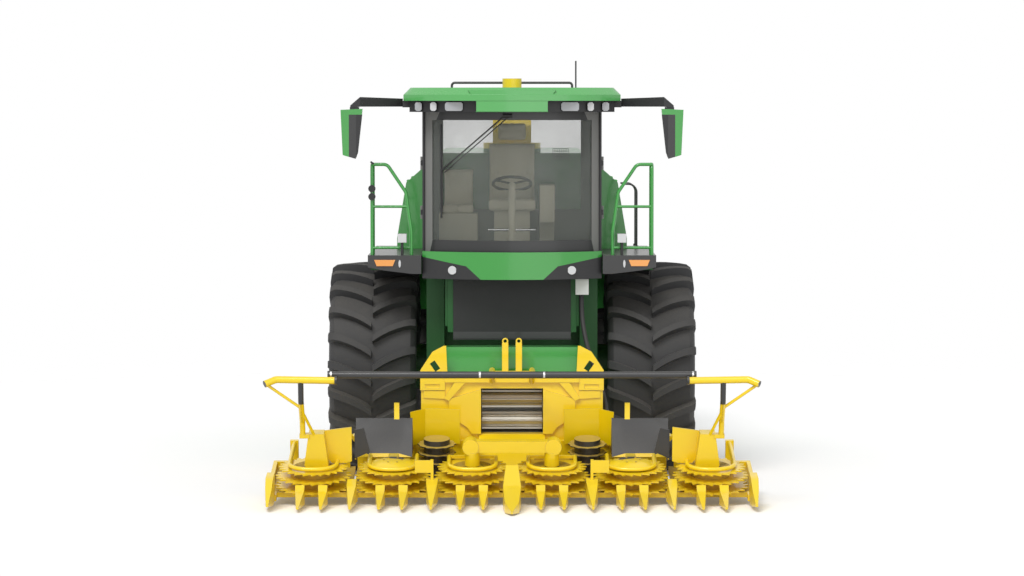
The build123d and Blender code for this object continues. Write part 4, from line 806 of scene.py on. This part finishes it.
def bolt_group():
    """Six-sided bolts at equal steps around a circle, which faces +Z."""
    group = bpy.data.node_groups.new("bolt circle", "GeometryNodeTree")
    sockets = {}
    for label, kind, value in (
        ("Count", "NodeSocketInt", 8),
        ("Circle radius", "NodeSocketFloat", 0.1),
        ("Bolt radius", "NodeSocketFloat", 0.015),
        ("Height", "NodeSocketFloat", 0.015),
        ("Finish", "NodeSocketMaterial", None),
    ):
        socket = group.interface.new_socket(name=label, in_out="INPUT", socket_type=kind)
        if value is not None:
            socket.default_value = value
        sockets[label] = socket.identifier
    group.interface.new_socket(name="Geometry", in_out="OUTPUT", socket_type="NodeSocketGeometry")
    given = group.nodes.new("NodeGroupInput").outputs
    result = group.nodes.new("NodeGroupOutput").inputs
    circle = add(group, "GeometryNodeMeshCircle",
                 {"Vertices": given["Count"], "Radius": given["Circle radius"]})
    head = add(group, "GeometryNodeMeshCylinder",
               {"Vertices": 6, "Radius": given["Bolt radius"], "Depth": given["Height"]})
    placed = add(group, "GeometryNodeInstanceOnPoints",
                 {"Points": circle.outputs["Mesh"], "Instance": head.outputs["Mesh"]})
    real = add(group, "GeometryNodeRealizeInstances", {"Geometry": placed.outputs[0]})
    coated = add(group, "GeometryNodeSetMaterial",
                 {"Geometry": real.outputs[0], "Material": given["Finish"]})
    group.links.new(coated.outputs[0], result["Geometry"])
    return group, sockets


bolt_nodes, bolt_sockets = bolt_group()


def bolt_circle(name, place, turn, body, slot, finish, count, circle, radius, height):
    """A ring of bolts moved to its place: turn is a matrix that takes +Z to the bolts' own direction."""
    holder = bpy.data.objects.new(name, bpy.data.meshes.new(name))
    bpy.context.scene.collection.objects.link(holder)
    modifier = holder.modifiers.new("bolts", "NODES")
    modifier.node_group = bolt_nodes
    for label, value in (("Count", count), ("Circle radius", circle), ("Bolt radius", radius),
                         ("Height", height), ("Finish", finish)):
        modifier[bolt_sockets[label]] = value
    bpy.context.view_layer.update()
    seen = holder.evaluated_get(bpy.context.evaluated_depsgraph_get())
    mesh = bmesh.new()
    mesh.from_mesh(bpy.data.meshes.new_from_object(seen))
    bpy.data.objects.remove(holder)
    bmesh.ops.transform(mesh, matrix=Matrix.Translation(place) @ turn.to_4x4(), verts=mesh.verts)
    return made_piece(name, mesh, [finish], body)


wheel_bolts = (
    # end, how far out, along Y and up, how many bolts, the circle's radius, the bolt's radius
    ("front", 1.468, -0.3, 1.075, 12, 0.2, 0.019),
    ("rear", 1.228, 2.9, 0.745, 10, 0.14, 0.016),
)
wheel_bolt_height = 0.03
# The covers over the rotors: their height in the header, and the bolts on each
cover_up = 0.154
cover_bolts = (6, 0.085, 0.011, 0.012)


def make_bolts():
    """Wheel bolts, and those on the covers over the rotors."""
    sideways = Matrix.Rotation(math.radians(90), 3, "Y")
    for side, sign in (("l", 1), ("r", -1)):
        for end, out, along, up, count, circle, radius in wheel_bolts:
            bolt_circle(f"{end}_wheel_bolts_{side}", Vector((sign * out, along, up)), sideways,
                        f"{end}_wheel_{side}", "worn_steel", bright_metal, count, circle, radius,
                        wheel_bolt_height)
        # The cover bolts take the darker yellow of painted shade
        spot = from_header(Vector((sign * 1.5 * rotor_pitch, 0, cover_up)))
        bolt_circle(f"cover_bolts_{side}", spot, header_turn, "feeder", "yellow_paint", shaded_yellow,
                    *cover_bolts)


def box_mesh(mesh, low, high):
    """A block added to a mesh between two corners."""
    made = bmesh.ops.create_cube(mesh, size=1)["verts"]
    for vertex in made:
        vertex.co = [(a + b) / 2 + place * abs(b - a) for a, b, place in zip(low, high, vertex.co)]


def bars(name, runs, finish, body):
    """Round bars given as (start, end, radius), as one piece."""
    mesh = bmesh.new()
    for start, end, radius in runs:
        rod_mesh(mesh, start, end, radius)
    soften(mesh)
    return made_piece(name, mesh, [finish], body)


def glass_point(x, z):
    """A point just in front of the bowed windscreen."""
    half, side_y, bow, clear = 0.87, -1.34, 0.35, 0.012
    radius = (half**2 + bow**2) / (2 * bow)
    return (x, side_y - bow + radius - math.sqrt(radius**2 - x**2) - clear, z)


# The wire mesh in the cab: its two sides, its foot and its top, its place along Y and its wire
guard_x, guard_z, guard_y, guard_wire = (0.42, 0.58), (3.20, 3.31), -0.145, 0.0025
guard_columns, guard_rows = 7, 4


def make_small_pieces():
    """Collars, couplings, the cab's seals, wiper, wire mesh and foot rest, and dark sheets of painted shade
    by the curtain.
    """
    half, radius = 0.009, 0.0355
    collars = [((x - half, crop_bar_y, crop_bar_z), (x + half, crop_bar_y, crop_bar_z), radius)
               for x in (-1.69, -0.3, 0.3, 1.69)]
    bars("crop_bar_collars", collars, bright_metal, "feeder")
    x, y = -1.39, -1.425
    couplings = [((x, y - 0.045, z), (x, y - 0.012, z), 0.036) for z in (2.93, 2.85)]
    couplings += [((x, y, 3.176), (x + 0.01, y, 3.19), 0.024)]
    bars("railing_couplings", couplings, black_plastic, "machine")

    seals = [((side * 0.878, -1.345, 2.312), (side * 0.878, -1.345, 3.69), 0.014) for side in (-1, 1)]
    bars("cab_corner_seals", seals, black_plastic, "machine")
    wiper = [(glass_point(-0.07, 3.655), glass_point(-0.70, 3.11), 0.008),
             (glass_point(-0.02, 3.655), glass_point(-0.67, 3.09), 0.006),
             (glass_point(-0.705, 3.57), glass_point(-0.70, 2.64), 0.009),
             (glass_point(-0.09, 3.655), glass_point(0.0, 3.655), 0.02)]
    bars("windscreen_wiper", wiper, black_plastic, "machine")
    wires = []
    for step in range(guard_columns + 1):
        x = guard_x[0] + (guard_x[1] - guard_x[0]) * step / guard_columns
        wires.append(((x, guard_y, guard_z[0]), (x, guard_y, guard_z[1]), guard_wire))
    for step in range(guard_rows + 1):
        z = guard_z[0] + (guard_z[1] - guard_z[0]) * step / guard_rows
        wires.append(((guard_x[0], guard_y, z), (guard_x[1], guard_y, z), guard_wire))
    bars("cab_guard_mesh", wires, black_plastic, "machine")
    # Dark green sheets in gaps inside the machine: painted shade
    sheets = bmesh.new()
    for side in (-1, 1):
        for low, high in (
            ((0.47, -0.775, 1.29), (0.71, -0.765, 2.10)),
            ((0.60, -1.392, 1.56), (0.665, -1.372, 2.04)),
        ):
            box_mesh(sheets, (side * low[0], *low[1:]), (side * high[0], *high[1:]))
    made_piece("inner_shade_sheets", sheets, [shaded_green], "machine")
    foot_rest = [((-0.24, -1.18, 2.51), (0.24, -1.18, 2.51), 0.014)]
    bars("foot_rest", foot_rest, bright_metal, "machine")


def smooth_line(points):
    """The points of a smooth curve that has the given ones as its control points."""
    line = bpy.data.curves.new("line", "CURVE")
    line.dimensions = "3D"
    spline = line.splines.new("NURBS")
    spline.points.add(len(points) - 1)
    for point, place in zip(spline.points, points):
        point.co = (*place, 1.0)
    spline.order_u = 3
    spline.use_endpoint_u = True
    spline.resolution_u = 12
    holder = bpy.data.objects.new("line", line)
    mesh = bpy.data.meshes.new_from_object(holder)
    found = [vertex.co.copy() for vertex in mesh.vertices]
    bpy.data.objects.remove(holder)
    return found


def ring_tube(name, path, radius, sides=24):
    """A closed round tube along a path, its rings turned as little as possible from one to the next."""
    mesh = bmesh.new()
    across = Vector((1, 0, 0))
    rings = []
    for index, place in enumerate(path):
        before, after = path[max(index - 1, 0)], path[min(index + 1, len(path) - 1)]
        along = (after - before).normalized()
        across = (across - along * across.dot(along)).normalized()
        other = along.cross(across)
        rings.append([
            mesh.verts.new(place + radius * (math.cos(turn) * across + math.sin(turn) * other))
            for turn in (2 * math.pi * side / sides for side in range(sides))
        ])
    for low, high in zip(rings, rings[1:]):
        for side in range(sides):
            after = (side + 1) % sides
            mesh.faces.new((low[side], low[after], high[after], high[side]))
    mesh.faces.new(list(reversed(rings[0])))
    mesh.faces.new(rings[-1])
    data = bpy.data.meshes.new(name)
    mesh.to_mesh(data)
    mesh.free()
    for face in data.polygons:
        face.use_smooth = True
    made = bpy.data.objects.new(name, data)
    bpy.context.scene.collection.objects.link(made)
    return made


def make_hose():
    """The header's hydraulic hose, a round tube along a smooth curve through its route."""
    path = smooth_line(hose_route)
    hose = ring_tube("hydraulic_hose", path, hose_diameter / 2)
    hose.data.materials.append(soft_rubber)
    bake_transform(hose)
    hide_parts("header_hose")


# The floor's half width, where it fades into the white behind it, and the sky's share of the light
floor_half = 30.0
fade_start, fade_end = 6.0, 16.0
sky_light = 0.45


def make_stage():
    """A pale floor and a white world behind it, with two broad lamps and the sky's soft light."""
    floor = bpy.data.meshes.new("floor")
    half = floor_half
    corners = [(-half, -half, 0), (half, -half, 0), (half, half, 0), (-half, half, 0)]
    floor.from_pydata(corners, [], [(0, 1, 2, 3)])
    ground = bpy.data.objects.new("floor", floor)
    bpy.context.scene.collection.objects.link(ground)
    ground.data.materials.append(floor_material())

    world = bpy.data.worlds.new("studio")
    bpy.context.scene.world = world
    world.use_nodes = True
    tree = world.node_tree
    path = add(tree, "ShaderNodeLightPath")
    seen = math_node(tree, "MAXIMUM", path.outputs["Is Camera Ray"], path.outputs["Is Glossy Ray"])
    seen = math_node(tree, "MAXIMUM", seen, path.outputs["Is Transmission Ray"])
    glow = add(tree, "ShaderNodeMapRange", {0: seen, 1: 0.0, 2: 1.0, 3: sky_light, 4: 1.0}).outputs[0]
    background = tree.nodes["Background"]
    background.inputs["Color"].default_value = (1, 1, 1, 1)
    tree.links.new(glow, background.inputs["Strength"])

    for name, strength, spread, turn in (
        ("key lamp", 2.05, 28, (38, 0, -24)),
        ("fill lamp", 0.6, 60, (72, 0, 20)),
    ):
        lamp = bpy.data.lights.new(name, "SUN")
        lamp.energy = strength
        lamp.angle = math.radians(spread)
        holder = bpy.data.objects.new(name, lamp)
        holder.rotation_euler = [math.radians(value) for value in turn]
        bpy.context.scene.collection.objects.link(holder)


def floor_material():
    """Nearly white, clear far out, with the shadow still showing on it."""
    made, tree, shader = new_material("pale floor")
    place = add(tree, "ShaderNodeTexCoord").outputs["Object"]
    cloud = add(tree, "ShaderNodeTexNoise", {"Vector": place, "Scale": 0.4, "Detail": 2.0}).outputs[0]
    tone = add(tree, "ShaderNodeMapRange", {0: cloud, 1: 0.0, 2: 1.0, 3: 0.93, 4: 0.95}).outputs[0]
    tree.links.new(tone, shader.inputs["Base Color"])
    away = add(tree, "ShaderNodeVectorMath", {0: place}, operation="LENGTH").outputs["Value"]
    near = add(tree, "ShaderNodeMapRange", {0: away, 1: fade_start, 2: fade_end, 3: 1.0, 4: 0.0},
               interpolation_type="SMOOTHSTEP")
    tree.links.new(near.outputs[0], shader.inputs["Alpha"])
    shader.inputs["Roughness"].default_value = 0.9
    shader.inputs["Specular IOR Level"].default_value = 0.1
    shader.inputs["Emission Color"].default_value = (1, 1, 1, 1)
    shader.inputs["Emission Strength"].default_value = 0.08
    return made


def make_camera():
    """The photograph's own view: from far off with a long lens, turned a little down."""
    camera = bpy.data.cameras.new("camera")
    camera.sensor_width = sensor_width
    camera.lens = focal_pixels * sensor_width / photo_width
    camera.clip_end = 2000
    holder = bpy.data.objects.new("camera", camera)
    down = math.atan((photo_height / 2 - horizon_row) / focal_pixels)
    holder.location = (0, -camera_back, camera_height)
    holder.rotation_euler = (math.radians(90) - down, 0, 0)
    bpy.context.scene.collection.objects.link(holder)
    bpy.context.scene.camera = holder


bpy.context.scene.view_settings.view_transform = "Standard"
dress_nodes()
make_tyres()
make_rotors()
make_seats()
make_bolts()
make_small_pieces()
make_hose()
make_stage()
make_camera()
